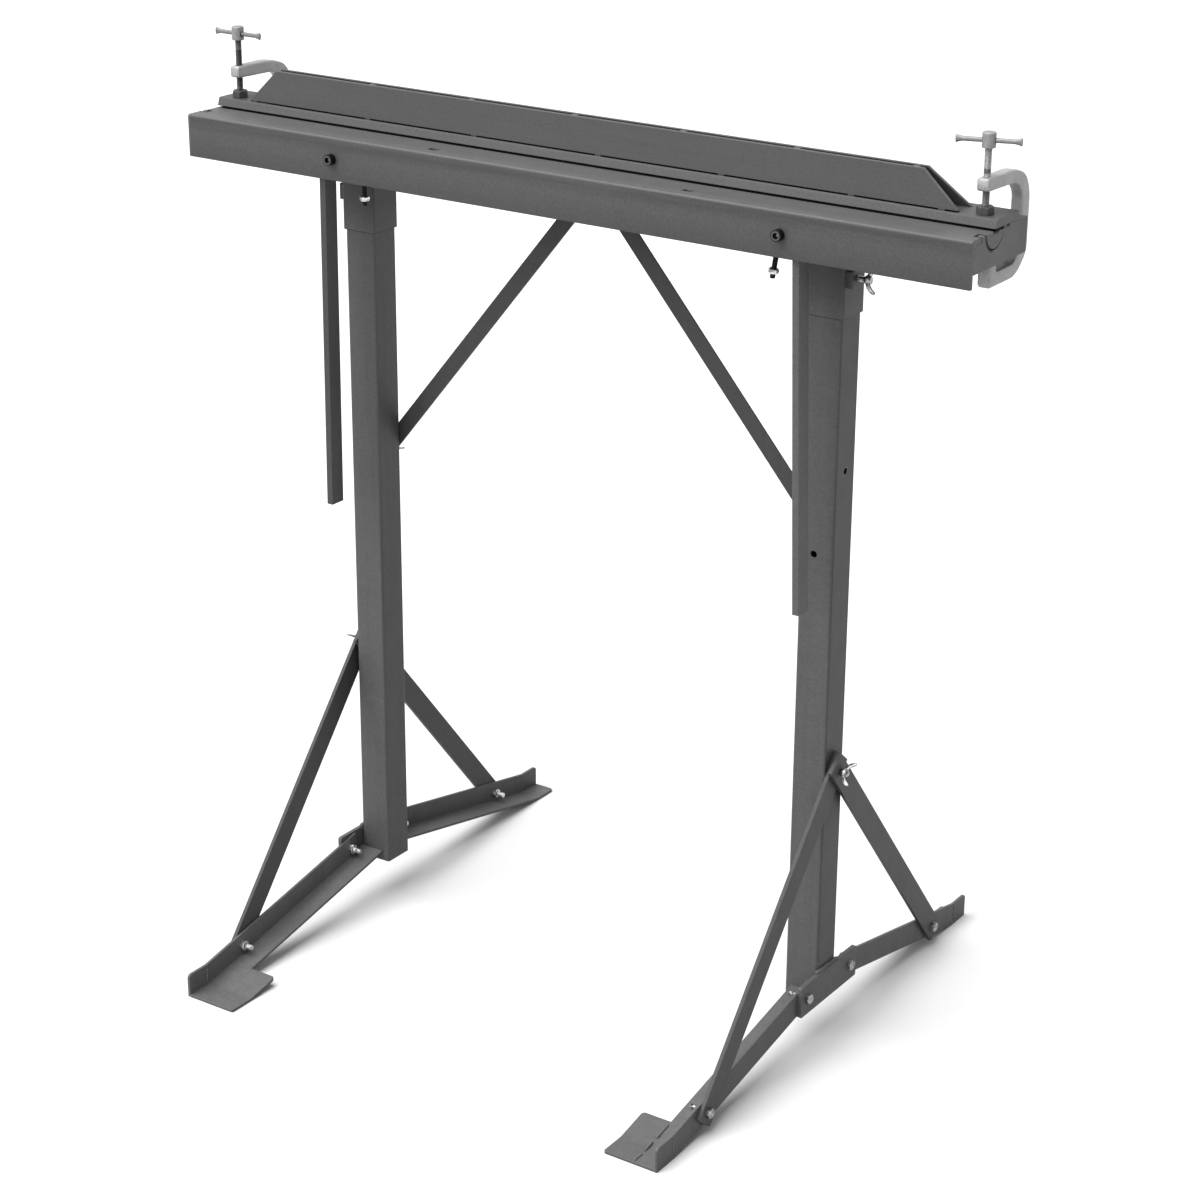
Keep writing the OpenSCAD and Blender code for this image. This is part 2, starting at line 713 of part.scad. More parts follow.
// Cast hub on top of the screw, cross drilled for the bar
module screw_hub(side) {
    color(casting) difference() {
        translate([side * clamp_x, screw_y, hub_z]) rotate_extrude($fn = fine)
            polygon(rounded([[0, 0, 0], [hub_d / 2, 0, 1.2], [hub_d / 2, hub_h, 1.8], [0, hub_h, 0]]));
        translate([side * clamp_x, screw_y, hub_z - slack])
            cylinder(d = screw_d, h = slack + hub_socket + seat_gap);
        on_cross_bar(side) rod_x(cross_d + 2 * run_gap, -cross_len, cross_len, 0, 0);
    }
}

// Cross bar with flared ends
module cross_bar(side) {
    r = cross_d / 2;
    e = cross_end_d / 2;
    l = cross_len / 2;
    color(casting) on_cross_bar(side) rotate([0, 90, 0]) rotate_extrude()
        polygon(rounded([[0, -l, 0], [e, -l, cross_rim], [e, 3 - l, 1.5], [r, 7 - l, 2],
            [r, l - 7, 2], [e, l - 3, 1.5], [e, l, cross_rim], [0, l, 0]], 4));
}

// Square leg tube, with the hole for the brace stud and the spare holes
module leg(side) {
    color(paint) at_end(side) difference() {
        translate([leg_x, 0, leg_z]) square_tube(leg_w, leg_w, leg_r, leg_wall, leg_len);
        rod_x(bolt_d + 2 * hole_gap, leg_x, foot_side + slack, 0, strut_z);
        rod_y(bolt_d + 2 * hole_gap, 0, brace_y + slack, leg_x, brace_z);
        rod_x(leg_hole_d, leg_x, foot_side + slack, 0, leg_z + spare_up);
        if (side > 0)
            rod_y(leg_hole_d, -brace_y - slack, 0, leg_x - front_hole_in, leg_z + front_hole_up);
    }
}

// Collar welded under the bed, with the tapped block for its wing screw
module collar(side) {
    w = 2 * collar_half;
    color(paint) at_end(side) difference() {
        union() {
            translate([leg_x, 0, bed_z - collar_len])
                square_tube(w, w, leg_r + collar_gap, collar_wall, collar_len);
            along_x(block_x, block_x + block_t) polygon(rounded([
                [-block_ahead - block_w / 2, block_z, 1.5], [-block_ahead + block_w / 2, block_z, 1.5],
                [-block_ahead + block_w / 2, block_z + block_h, 1.5],
                [-block_ahead - block_w / 2, block_z + block_h, 1.5]]));
        }
        rod_x(bolt_d + 2 * run_gap, block_x - collar_wall - slack, block_x + block_t + slack,
            -block_ahead, wing_screw_z);
    }
}

// Pair of wings on a hub, standing along Z
module wings() {
    for (turn = [0, 180]) rotate([90, 0, turn]) linear_extrude(2.4, center = true)
        polygon(rounded([[2, 1, 0], [4.5, 1, 1], [13, 7.5, 3], [15, 14, 1.8], [11.3, 14.6, 2],
            [6, 8, 2], [2, 7, 0]]));
    cylinder(d = 10.5, h = 3);
    cylinder(d = 9, h = 7.5);
}

// Thumb screw through the right collar's tapped block, bearing on the leg
module wing_screw() {
    tip = foot_side + run_gap;
    color(zinc) translate([0, -block_ahead, wing_screw_z]) {
        rod_x(bolt_d, tip, block_x + block_t + wing_neck, 0, 0);
        translate([block_x + block_t + wing_neck - slack, 0, 0])
            rotate([-wing_screw_turn, 0, 0]) rotate([0, 90, 0]) wings();
    }
}

// Wing nut with a clear hole, standing along Z
module wing_nut() {
    color(zinc) difference() {
        wings();
        translate([0, 0, -slack]) cylinder(d = bolt_d + 2 * run_gap, h = 15);
    }
}

// Plate welded to the leg's outer face, which the feet bolt to
module base_bracket(side) {
    color(paint) at_end(side) difference() {
        along_x(foot_side, foot_side + bracket_t) polygon(rounded([
            [-bracket_half, leg_z, 2], [bracket_half, leg_z, 2],
            [bracket_half, leg_z + bracket_h, 2.5], [-bracket_half, leg_z + bracket_h, 2.5]]));
        for (front = [-1, 1])
            rod_x(bolt_d + 2 * hole_gap, foot_side - slack, foot_side + bracket_t + slack,
                front * bracket_bolt_y, bracket_bolt_z);
    }
}

// Outline of a foot's flat strip, seen from the side, for a front foot
module foot_strip(inner) {
    y0 = -inner;
    z0 = foot_z(inner);
    lift = foot_t / cos(foot_slope);
    bend_in = foot_t * tan(foot_slope / 2);
    polygon(rounded([[y0, z0, 0], [-foot_bend, 0, bend_r], [-foot_tip, 0, 0.6], [-foot_tip, foot_t, 0.6],
        [-foot_bend - bend_in, foot_t, bend_r - foot_t], [y0, z0 + lift, 0]]));
}

// Foot: an angle that slopes down to the floor and lies flat at its tip
module foot(side, front) {
    inner = leg_w / 2 + foot_end_gap;
    cut = leg_w / 2 + flange_cut;
    rise = foot_h / cos(foot_slope);
    bend_in = foot_h * tan(foot_slope / 2);
    color(paint) at_end(side) at_front(front) difference() {
        union() {
            intersection() {
                along_x(foot_side - foot_w, foot_side) foot_strip(inner);
                translate([foot_side - foot_w / 2, -foot_tip / 2, -slack]) linear_extrude(leg_z + 2 * foot_h)
                    polygon(rounded([[-foot_w / 2, foot_tip / 2, 0],
                        [-foot_w / 2, -foot_tip / 2, front ? 0 : tip_r],
                        [foot_w / 2, -foot_tip / 2, 0.5], [foot_w / 2, foot_tip / 2, 0]]));
            }
            along_x(foot_side - foot_t, foot_side) polygon(rounded([
                [-cut, foot_z(cut), 0], [-foot_bend, 0, bend_r], [-foot_tip, 0, 1],
                [-foot_tip, foot_h, tip_r], [-foot_bend - bend_in, foot_h, 4],
                [-cut, foot_z(cut) + rise, 0]]));
        }
        for (y = [bracket_bolt_y, strut_foot_y])
            rod_x(bolt_d + 2 * hole_gap, foot_side - foot_t - slack, foot_side + slack,
                -y, foot_z(y) + foot_h / 2);
    }
}

// Pad plate butted against a front foot's lower flange
module foot_pad(side) {
    edge = foot_side - foot_w;
    color(paint) at_end(side) intersection() {
        along_x(edge - pad_w, edge) foot_strip(foot_tip - pad_len);
        translate([edge - pad_w / 2, -foot_tip + pad_len / 2, -slack]) linear_extrude(leg_z + foot_h)
            polygon(rounded([[-pad_w / 2, pad_len / 2, 4], [-pad_w / 2, -pad_len / 2, 3],
                [pad_w / 2, -pad_len / 2, 0], [pad_w / 2, pad_len / 2, 0]]));
    }
}

// At the leg the right side's rear strut and the left side's front strut lie over the other one
function strut_over(side, front) = (side > 0) != front;

module strut(side, front) {
    over = strut_over(side, front);
    half_w = strut_w / 2;
    color(paint) at_end(side) difference() {
        at_front(front) translate([over ? strut_out : foot_side, 0, strut_z])
            rotate([strut_angle, 0, 0]) rotate([0, 0, over ? -strut_swing : 0])
                along_x(0, strut_t) polygon(rounded([
                    [-strut_run - strut_past_foot, -half_w, 1], [strut_past, -half_w, 1],
                    [strut_past, half_w, 1], [-strut_run - strut_past_foot, half_w, 1]]));
        rod_x(bolt_d + 2 * hole_gap, foot_side - strut_t, strut_out + 2 * strut_t, 0, strut_z);
        rod_x(bolt_d + 2 * hole_gap, foot_side - strut_t, strut_out + 2 * strut_t,
            front ? -strut_foot_y : strut_foot_y, strut_foot_z);
    }
}

// Brace: a flat bar from the back of the leg up to the tab under the bed
module brace(side) {
    half_w = brace_w / 2;
    top_x = brace_top_x - side * tab_left;
    brace_run = norm([leg_x - top_x, brace_top_z - brace_z]);
    brace_angle = atan2(brace_top_z - brace_z, leg_x - top_x);
    color(paint) at_end(side) difference() {
        translate([leg_x, 0, brace_z]) rotate([0, brace_angle, 0])
            along_y(brace_y, brace_y + flat_t) polygon(rounded([
                [-brace_run - brace_past, -half_w, 1], [brace_past, -half_w, 1],
                [brace_past, half_w, 1], [-brace_run - brace_past, half_w, 1]]));
        rod_y(bolt_d + 2 * hole_gap, brace_y - slack, brace_y + flat_t + slack, leg_x, brace_z);
        rod_y(bolt_d + 2 * hole_gap, brace_y - slack, brace_y + flat_t + slack,
            top_x, brace_top_z);
    }
}

// Hexagon bolt along X: the head's underside at x, the shank running inwards
module bolt_in(x, y, z, grip) {
    color(zinc) {
        translate([x, y, z]) rotate([0, 90, 0]) hex(bolt_af, head_h);
        rod_x(bolt_d, x - grip - nut_h - bolt_past, x + slack, y, z);
    }
}

module nut_in(x, y, z) {
    color(zinc) difference() {
        translate([x - nut_h, y, z]) rotate([0, 90, 0]) hex(bolt_af, nut_h);
        rod_x(bolt_d, x - nut_h - slack, x + slack, y, z);
    }
}

module bracket_bolts() {
    for (side = [-1, 1], y = [-bracket_bolt_y, bracket_bolt_y]) at_end(side)
        bolt_in(foot_side + bracket_t, y, bracket_bolt_z, bracket_t + foot_t);
}

module bracket_nuts() {
    for (side = [-1, 1], y = [-bracket_bolt_y, bracket_bolt_y]) at_end(side)
        nut_in(foot_side - foot_t, y, bracket_bolt_z);
}

module foot_bolts() {
    for (side = [-1, 1], front = [false, true]) at_end(side) {
        over = strut_over(side, front) ? strut_t + strut_gap + 2 * seat_gap : strut_t;
        bolt_in(foot_side + over, front ? -strut_foot_y : strut_foot_y, strut_foot_z, over + foot_t);
    }
}

module foot_nuts() {
    for (side = [-1, 1], y = [-strut_foot_y, strut_foot_y]) at_end(side)
        nut_in(foot_side - foot_t, y, strut_foot_z);
}

// Studs fixed inside the legs, their heads against the tube's wall
module strut_studs() {
    inner = foot_side - leg_wall;
    color(zinc) for (side = [-1, 1]) at_end(side) {
        rod_x(2 * bolt_d, inner - 3, inner, 0, strut_z);
        rod_x(bolt_d, inner - 1, strut_out + strut_t + 9, 0, strut_z);
    }
}

module strut_wing(side) {
    turn = side > 0 ? -right_nut_turn : left_nut_turn;
    at_end(side) translate([strut_out + strut_t + 3 * seat_gap, 0, strut_z])
        rotate([turn, 0, 0]) rotate([0, 90, 0]) wing_nut();
}

module brace_studs() {
    inner = brace_y - leg_wall;
    color(zinc) for (side = [-1, 1]) at_end(side) {
        rod_y(2 * bolt_d, inner - 3, inner, leg_x, brace_z);
        rod_y(bolt_d, inner - 1, brace_y + flat_t + 9, leg_x, brace_z);
    }
}

module brace_wing(side) {
    turn = side > 0 ? brace_nut_turn : 0;
    at_end(side) translate([leg_x, brace_y + flat_t + seat_gap, brace_z])
        rotate([0, turn, 0]) rotate([-90, 0, 0]) wing_nut();
}

// Bolts that hold the braces to the tab, heads to the front
module tab_bolts() {
    color(zinc) translate([-tab_left, 0, 0]) for (side = [-1, 1]) at_end(side) {
        translate([brace_top_x, brace_y - flat_t, brace_top_z]) rotate([90, 0, 0])
            hex(bolt_af, head_h);
        rod_y(bolt_d, brace_y - flat_t - slack, brace_y + flat_t + nut_h + 2,
            brace_top_x, brace_top_z);
    }
}

module tab_nuts() {
    color(zinc) translate([-tab_left, 0, 0]) for (side = [-1, 1]) at_end(side) difference() {
        translate([brace_top_x, brace_y + flat_t, brace_top_z]) rotate([-90, 0, 0])
            hex(bolt_af, nut_h);
        rod_y(bolt_d, brace_y, brace_y + 20, brace_top_x, brace_top_z);
    }
}

bed();
end_plate(-1);  // end_plate_left
end_plate(1);  // end_plate_right
brace_tab();
clamp_frame(-1);  // clamp_frame_left
clamp_frame(1);  // clamp_frame_right
leaf();
hinge_lug(-1);  // hinge_lug_left
hinge_lug(1);  // hinge_lug_right
handle(-1);  // handle_left
handle(1);  // handle_right
handle_carrier(-1);  // handle_carrier_left
handle_carrier(1);  // handle_carrier_right
cap_screws();
stop_bolts();
stop_nuts();
clamp_bar();
stiffener_front();
stiffener_rear();
bar_nut(-1);  // bar_nut_left
bar_nut(1);  // bar_nut_right
clamp_screw(-1);  // clamp_screw_left
clamp_screw(1);  // clamp_screw_right
screw_hub(-1);  // screw_hub_left
screw_hub(1);  // screw_hub_right
cross_bar(-1);  // cross_bar_left
cross_bar(1);  // cross_bar_right
leg(-1);  // leg_left
leg(1);  // leg_right
collar(-1);  // collar_left
collar(1);  // collar_right
wing_screw();
base_bracket(-1);  // base_bracket_left
base_bracket(1);  // base_bracket_right
bracket_bolts();
bracket_nuts();
foot(-1, true);  // foot_front_left
foot(1, true);  // foot_front_right
foot(-1, false);  // foot_rear_left
foot(1, false);  // foot_rear_right
foot_pad(-1);  // foot_pad_left
foot_pad(1);  // foot_pad_right
foot_bolts();
foot_nuts();
strut(-1, true);  // strut_front_left
strut(1, true);  // strut_front_right
strut(-1, false);  // strut_rear_left
strut(1, false);  // strut_rear_right
strut_studs();
strut_wing(-1);  // strut_wing_left
strut_wing(1);  // strut_wing_right
brace(-1);  // brace_left
brace(1);  // brace_right
brace_studs();
brace_wing(-1);  // brace_wing_left
brace_wing(1);  // brace_wing_right
tab_bolts();
tab_nuts();
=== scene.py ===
# Hand folder for sheet metal on a knock-down stand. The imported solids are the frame; this file
# paints them and puts the castings, threads, wing nuts and weld beads in their places.
import math
import random

import bpy
from mathutils import Matrix, Vector


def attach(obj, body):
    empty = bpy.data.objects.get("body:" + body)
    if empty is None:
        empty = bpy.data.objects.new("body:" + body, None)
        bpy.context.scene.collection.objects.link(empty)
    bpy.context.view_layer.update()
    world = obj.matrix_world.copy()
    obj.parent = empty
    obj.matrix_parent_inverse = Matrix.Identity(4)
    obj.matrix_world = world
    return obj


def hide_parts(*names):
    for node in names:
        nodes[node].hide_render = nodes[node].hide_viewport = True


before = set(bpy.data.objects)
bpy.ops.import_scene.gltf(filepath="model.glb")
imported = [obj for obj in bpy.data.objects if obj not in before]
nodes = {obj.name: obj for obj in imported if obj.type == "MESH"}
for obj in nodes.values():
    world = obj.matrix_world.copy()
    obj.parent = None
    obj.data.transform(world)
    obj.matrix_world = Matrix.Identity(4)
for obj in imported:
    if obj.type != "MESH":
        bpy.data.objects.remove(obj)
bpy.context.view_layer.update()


# Tubes, plates and flat bars of the stand, the bed and the leaf: rolled steel under one coat of
# dark grey enamel, sprayed on after welding, a little uneven and thinner on the edges.
class Value:
    """What a node gives out. Sums and products on it add Math nodes."""

    def __init__(self, coat, socket):
        self.coat = coat
        self.socket = socket

    def maths(self, operation, a, b):
        return self.coat.node("ShaderNodeMath", {"operation": operation}, {0: a, 1: b})

    def __add__(self, other):
        return self.maths("ADD", self, other)

    __radd__ = __add__

    def __sub__(self, other):
        return self.maths("SUBTRACT", self, other)

    def __rsub__(self, other):
        return self.maths("SUBTRACT", other, self)

    def __mul__(self, other):
        return self.maths("MULTIPLY", self, other)

    __rmul__ = __mul__

    def above(self, low, high):
        """0 below low, 1 above high, and an even rise between them."""
        return self.coat.node(
            "ShaderNodeMapRange",
            {"clamp": True},
            {"Value": self, "From Min": low, "From Max": high},
        )


class Coat:
    """A material. Its nodes are added by one method, and feed() sets or links a socket."""

    def __init__(self, name, rough=0.5, metal=0.0, shine=0.5):
        self.material = bpy.data.materials.new(name)
        self.material.use_nodes = True
        self.tree = self.material.node_tree
        self.shader = self.tree.nodes["Principled BSDF"]
        self.feed(self.shader, {"Roughness": rough, "Metallic": metal, "Specular IOR Level": shine})

    def feed(self, node, values):
        for name, value in values.items():
            if isinstance(value, Value):
                self.tree.links.new(value.socket, node.inputs[name])
            else:
                node.inputs[name].default_value = value

    def node(self, kind, settings=None, values=None, out=0):
        made = self.tree.nodes.new(kind)
        for name, value in (settings or {}).items():
            setattr(made, name, value)
        self.feed(made, values or {})
        return Value(self, made.outputs[out])

    def grey(self, tone):
        """A number over the surface, as a grey colour."""
        return self.node(
            "ShaderNodeCombineColor", {}, {"Red": tone, "Green": tone, "Blue": tone}
        )

    def noise(self, scale, detail=2.0, where=None):
        where = where or self.node("ShaderNodeTexCoord", out="Object")
        return self.node(
            "ShaderNodeTexNoise", {}, {"Vector": where, "Scale": scale, "Detail": detail}
        )

    def drawn_out(self, x, y, z):
        """The place on the object, multiplied on each axis: below 1 draws a pattern out."""
        where = self.node("ShaderNodeTexCoord", out="Object")
        return self.node(
            "ShaderNodeVectorMath", {"operation": "MULTIPLY"}, {0: where, 1: (x, y, z)}
        )

    def spot(self, middle=(0.0, 0.0, 0.0)):
        """X, Y and Z of a point of the surface, measured from the middle."""
        where = self.node("ShaderNodeTexCoord", out="Object")
        return [
            self.node("ShaderNodeSeparateXYZ", {}, {"Vector": where}, out=axis) - start
            for axis, start in zip("XYZ", middle)
        ]

    def zone(self, spot, low, high, soft=0.0002):
        """1 inside a box and 0 outside it, with soft sides. None leaves a side open."""
        inside = 1.0
        for value, a, b in zip(spot, low, high):
            if a is not None:
                inside = inside * value.above(a - soft, a)
            if b is not None:
                inside = inside * (1 - value.above(b, b + soft))
        return inside

    def magnitude(self, value):
        return self.node("ShaderNodeMath", {"operation": "ABSOLUTE"}, {0: value})

    def distance(self, a, b):
        """How far a point lies from an axis, from its two offsets."""
        return self.node("ShaderNodeMath", {"operation": "POWER"}, {0: a * a + b * b, 1: 0.5})

    def facing(self, axis):
        """The part of the surface's own normal that points along an axis of the object."""
        normal = self.node("ShaderNodeTexCoord", out="Normal")
        return self.node("ShaderNodeSeparateXYZ", {}, {"Vector": normal}, out=axis)

    def bevelled(self, radius):
        return self.node("ShaderNodeBevel", {"samples": 4}, {"Radius": radius})

    def edges(self, round_normal):
        """1 along the outer edges, where the rounded normal leaves the flat one."""
        flat = self.node("ShaderNodeNewGeometry", out="Normal")
        along = self.node(
            "ShaderNodeVectorMath", {"operation": "DOT_PRODUCT"}, {0: round_normal, 1: flat},
            out="Value",
        )
        return (1 - along).above(0.01, 0.25)

    def bumps(self, height, strength, distance, normal=None):
        values = {"Height": height, "Strength": strength, "Distance": distance}
        if normal:
            values["Normal"] = normal
        return self.node("ShaderNodeBump", {}, values)

    def dress(self, *pieces):
        for piece in pieces:
            piece.data.materials.clear()
            piece.data.materials.append(self.material)


# Places on the object that the paint follows, in metres.
notch_y, notch_z = -0.0356, 0.985633
leaf_hole_x, leaf_hole_y = 0.1664, -0.0654
stitch_places = (-0.455, -0.288, -0.138, 0.028, 0.184, 0.340, 0.444)
stitch_half = 0.0035
stiffener_half = 0.4625
spare_hole_z = 0.689333


class Enamel(Coat):
    """Satin enamel over rolled steel, worn lighter along the edges, with painted shade and grime in
    the gaps, and painted light and shade by place on the leaf, the bed and the stand.
    tone is how light the paint is, and worn how much lighter its edges are."""

    def __init__(self, name, tone, worn=0.045):
        super().__init__(name, shine=0.3)
        self.along, self.depth, self.height = self.spot()
        self.end = self.magnitude(self.along)
        self.across = self.magnitude(self.depth)
        self.on_beam = self.height.above(0.9, 0.91)

        mottle = self.noise(45.0, 4.0)
        streaks = self.noise(130.0, 3.0, self.drawn_out(0.04, 1.0, 1.0))
        runs = self.noise(110.0, 2.0, self.drawn_out(1.0, 1.0, 0.05)) - 0.5
        uneven = 0.46 + 0.16 * self.noise(5.0, 3.0) + 0.15 * mottle + 0.6 * self.noise(420.0, 2.0)
        uneven = uneven + 0.14 * streaks + 0.3 * runs * (1 - self.on_beam)
        # Painted light and shade by place, on the leaf, the bed and the stand.
        light = 1 + self.leaf_painted_light(streaks) + self.bed_painted_light() + self.stand_painted_light()

        rounded_edge = self.bevelled(0.0011)
        leaf_bend = (1 - self.depth.above(-0.081, -0.0795)) * self.height.above(0.981, 0.9825)
        bright_edge = worn * self.edges(rounded_edge) * (1 - 0.92 * leaf_bend)
        # Painted shade and grime in the gaps: the colour goes nearly black there, and Metallic
        # rises there too, so the gloss goes dark as well.
        gap_shade_and_grime = self.gaps().above(0.0, 1.0)
        paint = tone * uneven * light + bright_edge + self.bare_metal()
        self.feed(
            self.shader,
            {
                "Base Color": self.grey(paint * (1 - 0.95 * gap_shade_and_grime)),
                "Roughness": 0.42 + 0.16 * mottle,
                "Metallic": gap_shade_and_grime,
                "Normal": self.bumps(self.noise(900.0, 1.0), 0.12, 0.0003, rounded_edge),
            },
        )

    def gaps(self):
        """1 where painted shade and grime sit: under bar and stiffener, round lug and horn, and at
        the collars."""
        end, depth, height = self.end, self.depth, self.height
        place = (end, depth, height)
        fold_line = self.zone((depth, height), (-0.0348, 0.983), (-0.029, 0.9871))
        stitches = sum(
            self.zone((self.along,), (middle - stitch_half,), (middle + stitch_half,))
            for middle in stitch_places
        )
        under_plate = self.zone(place, (None, -0.0292, 0.9962), (stiffener_half, -0.024, 0.9979))
        under_plate = under_plate * (1 - stitches)
        from_notch = self.distance(depth - notch_y, height - notch_z)
        lug_gap = self.zone((from_notch, end, height), (0.018, 0.501, None), (0.021, None, 0.9872))
        lug_gap = lug_gap * (1 - depth.above(-0.041, -0.035))
        beside_horn = self.zone(place, (0.4986, -0.0645, 0.984), (0.502, -0.0525, 0.9875))
        before_horn = self.zone(place, (0.5008, -0.0645, 0.9805), (None, -0.0626, 0.9862))
        bar_end = self.zone(place, (0.5068, -0.036, 0.9846), (None, -0.002, 0.9878))
        bar_end = bar_end * self.noise(170.0, 1.0).above(0.44, 0.48)
        bar_corner = self.zone(place, (0.5068, -0.0385, 0.9828), (None, -0.026, 0.9866))
        collar_seam = self.zone(
            (end, self.across, height), (0.280, None, 0.8617), (0.340, 0.03, 0.8623)
        )
        hinge = lug_gap + beside_horn + before_horn
        return fold_line + under_plate + hinge + bar_end + bar_corner + collar_seam

    def leaf_painted_light(self, streaks):
        """Painted light and shade on the leaf: painted shade darkens it low on its front, in a
        streaky band under its bend and round its countersunk holes, and a painted highlight
        lightens its top near the front edge."""
        depth, height = self.depth, self.height
        front = self.on_beam * (1 - depth.above(-0.0838, -0.083))
        low_front = front * (1 - height.above(0.936, 0.962))
        under_bend_shade = front * height.above(0.967, 0.976) * (1 - height.above(0.9825, 0.984))
        under_bend_shade = under_bend_shade * streaks.above(0.3, 0.55)
        top_edge_highlight = self.zone((depth, height), (-0.083, 0.9845), (-0.072, 0.9865), 0.006)
        hole_side = self.magnitude(self.end - leaf_hole_x)
        from_hole = self.distance(hole_side, depth - leaf_hole_y)
        countersink_shade = self.zone((from_hole, height), (None, 0.984), (0.0062, 0.986))
        countersink_shade = countersink_shade * hole_side.above(0.003, 0.0042)
        # Painted shade on the leaf's front, under its bend and round its holes; a painted highlight
        # along its top edge.
        darker = 0.18 * front + 0.2 * low_front + 0.24 * under_bend_shade + 0.9 * countersink_shade
        return 0.12 * top_edge_highlight - darker

    def bed_painted_light(self):
        """Painted light and shade on the bed: the stiffener lighter in its slot, at its foot and on
        its end facing +X, and darker towards its top; the end plates lighter towards the front and
        darker at the back. The clamp bar's top face and nose are darker."""
        end, depth, height = self.end, self.depth, self.height
        bar_face = self.zone((depth, height), (-0.0335, 0.9961), (0.018, 0.9972))
        bar_nose = self.zone((depth, height), (-0.0365, 0.9874), (-0.0318, 0.9958))
        slot = self.zone((depth, height), (-0.0246, 1.014), (-0.0186, 1.0365))
        stiffener_foot = height.above(0.9985, 0.9995) * (1 - 2 * height.above(1.0, 1.036))
        stiffener_end = self.facing("X").above(0.4, 0.6) * height.above(1.006, 1.007)
        end_plate = end.above(0.5076, 0.5078) * (1 - 1.5 * depth.above(-0.01, 0.035))
        stiffener = 0.8 * slot + 0.07 * stiffener_foot + 0.5 * stiffener_end
        # Painted light and shade on stiffener and end plates; the clamp bar's top and nose are
        # darker.
        return stiffener + 0.25 * end_plate - 0.26 * bar_face - 0.15 * bar_nose

    def stand_painted_light(self):
        """Painted shade darkens the legs right under the leaf and the right leg's right side.
        Painted light lightens the feet's flats and the inner faces of the front feet."""
        end, across, height = self.end, self.across, self.height
        foot_flat_light = self.facing("Z").above(0.6, 0.9) * (1 - height.above(0.05, 0.06))
        under_leaf_shade = self.zone((across, height), (None, 0.9), (0.03, 0.945), 0.04)
        under_leaf_shade = under_leaf_shade * (1 - end.above(0.34, 0.36))
        right_side_shade = self.zone((self.along, across, height), (0.3, None, 0.1), (0.335, 0.03, 0.86))
        right_side_shade = right_side_shade * self.facing("X").above(0.6, 0.9)
        inner_foot_light = self.zone(
            (end, self.depth, height), (0.326, None, None), (0.3284, -0.05, 0.1)
        )
        inner_foot_light = inner_foot_light * (1 - self.facing("Z").above(0.3, 0.5))
        # Painted light on the feet's flats and the front feet's inner faces; painted shade under
        # the leaf and on the right leg's right side.
        return 0.12 * foot_flat_light + 0.5 * inner_foot_light - 0.4 * under_leaf_shade - 0.24 * right_side_shade

    def bare_metal(self):
        """Rims of the spare holes, worn bright, and weld scars where the feet were bent."""
        from_hole = self.distance(self.depth, self.height - spare_hole_z)
        rim = from_hole.above(0.0041, 0.0043) * (1 - from_hole.above(0.0048, 0.0054))
        rim = rim * self.end.above(0.3305, 0.3307)
        scar = self.zone(
            (self.across, self.end, self.height), (0.3214, 0.326, 0.003), (0.3238, None, 0.029)
        )
        scar = scar * self.noise(700.0, 2.0).above(0.48, 0.6)
        return 0.14 * rim + 0.12 * scar


# The darker copies of the enamel are painted shade: a little on stiffener, legs and right pad, more
# on the struts, the left handle and the seat nuts, and most on the braces under the bed.
enamel = Enamel("grey_enamel", 0.092)
enamel_painted_shade = Enamel("enamel_painted_shade", 0.084)
enamel_painted_deeper_shade = Enamel("enamel_painted_deeper_shade", 0.053, worn=0.07)
enamel_painted_deepest_shade = Enamel("enamel_painted_deepest_shade", 0.043, worn=0.07)
painted = {
    enamel: ("bed", "end_plate", "brace_tab", "leaf", "hinge_lug", "handle_right", "handle_carrier",
             "clamp_bar", "collar", "base_bracket", "foot_front", "foot_rear", "foot_pad_left"),
    enamel_painted_shade: ("stiffener", "leg_", "foot_pad_right"),
    enamel_painted_deeper_shade: ("strut_front", "strut_rear", "handle_left"),
    enamel_painted_deepest_shade: ("brace_left", "brace_right"),
}
for coat, beginnings in painted.items():
    coat.dress(*(nodes[name] for name in nodes if name.startswith(beginnings)))


# Bolts and nuts: quarter inch, zinc plated, with chamfered corners and rolled threads. The feet
# hang on them, two at each base bracket and one at the lower end of each strut. Zinc nearer the
# middle than 327 mm, such as the nuts and tips inside the feet, is lighter than the heads.
mm = 0.001
zinc = Coat("zinc_plate", rough=0.32, metal=1.0)
patch = zinc.noise(330.0, 3.0)
# Zinc nearer the middle than 327 mm is lighter.
nearer_middle = 1 - zinc.magnitude(zinc.spot()[0]).above(0.3272, 0.3276)
zinc.feed(
    zinc.shader,
    {
        "Base Color": zinc.grey((0.12 + 0.34 * patch.above(0.36, 0.64)) * (1 + 0.9 * nearer_middle)),
        "Roughness": 0.25 + 0.25 * patch,
        "Normal": zinc.bumps(zinc.noise(1400.0, 2.0), 0.15, 0.0002),
    },
)


def add(kind, name, **sizes):
    """Adds a primitive by itself and names it. Lengths are in metres."""
    if bpy.context.mode != "OBJECT":
        bpy.ops.object.mode_set(mode="OBJECT")
    bpy.ops.object.select_all(action="DESELECT")
    getattr(bpy.ops.mesh, f"primitive_{kind}_add")(**sizes)
    piece = bpy.context.object
    piece.name = name
    return piece


def only(piece):
    """Leaves this piece alone selected and active, in object mode."""
    if bpy.context.mode != "OBJECT":
        bpy.ops.object.mode_set(mode="OBJECT")
    bpy.ops.object.select_all(action="DESELECT")
    piece.select_set(True)
    bpy.context.view_layer.objects.active = piece


def settle(piece):
    """Puts the object's own place, turn and size into its mesh."""
    only(piece)
    bpy.ops.object.transform_apply(location=True, rotation=True, scale=True)
    return piece


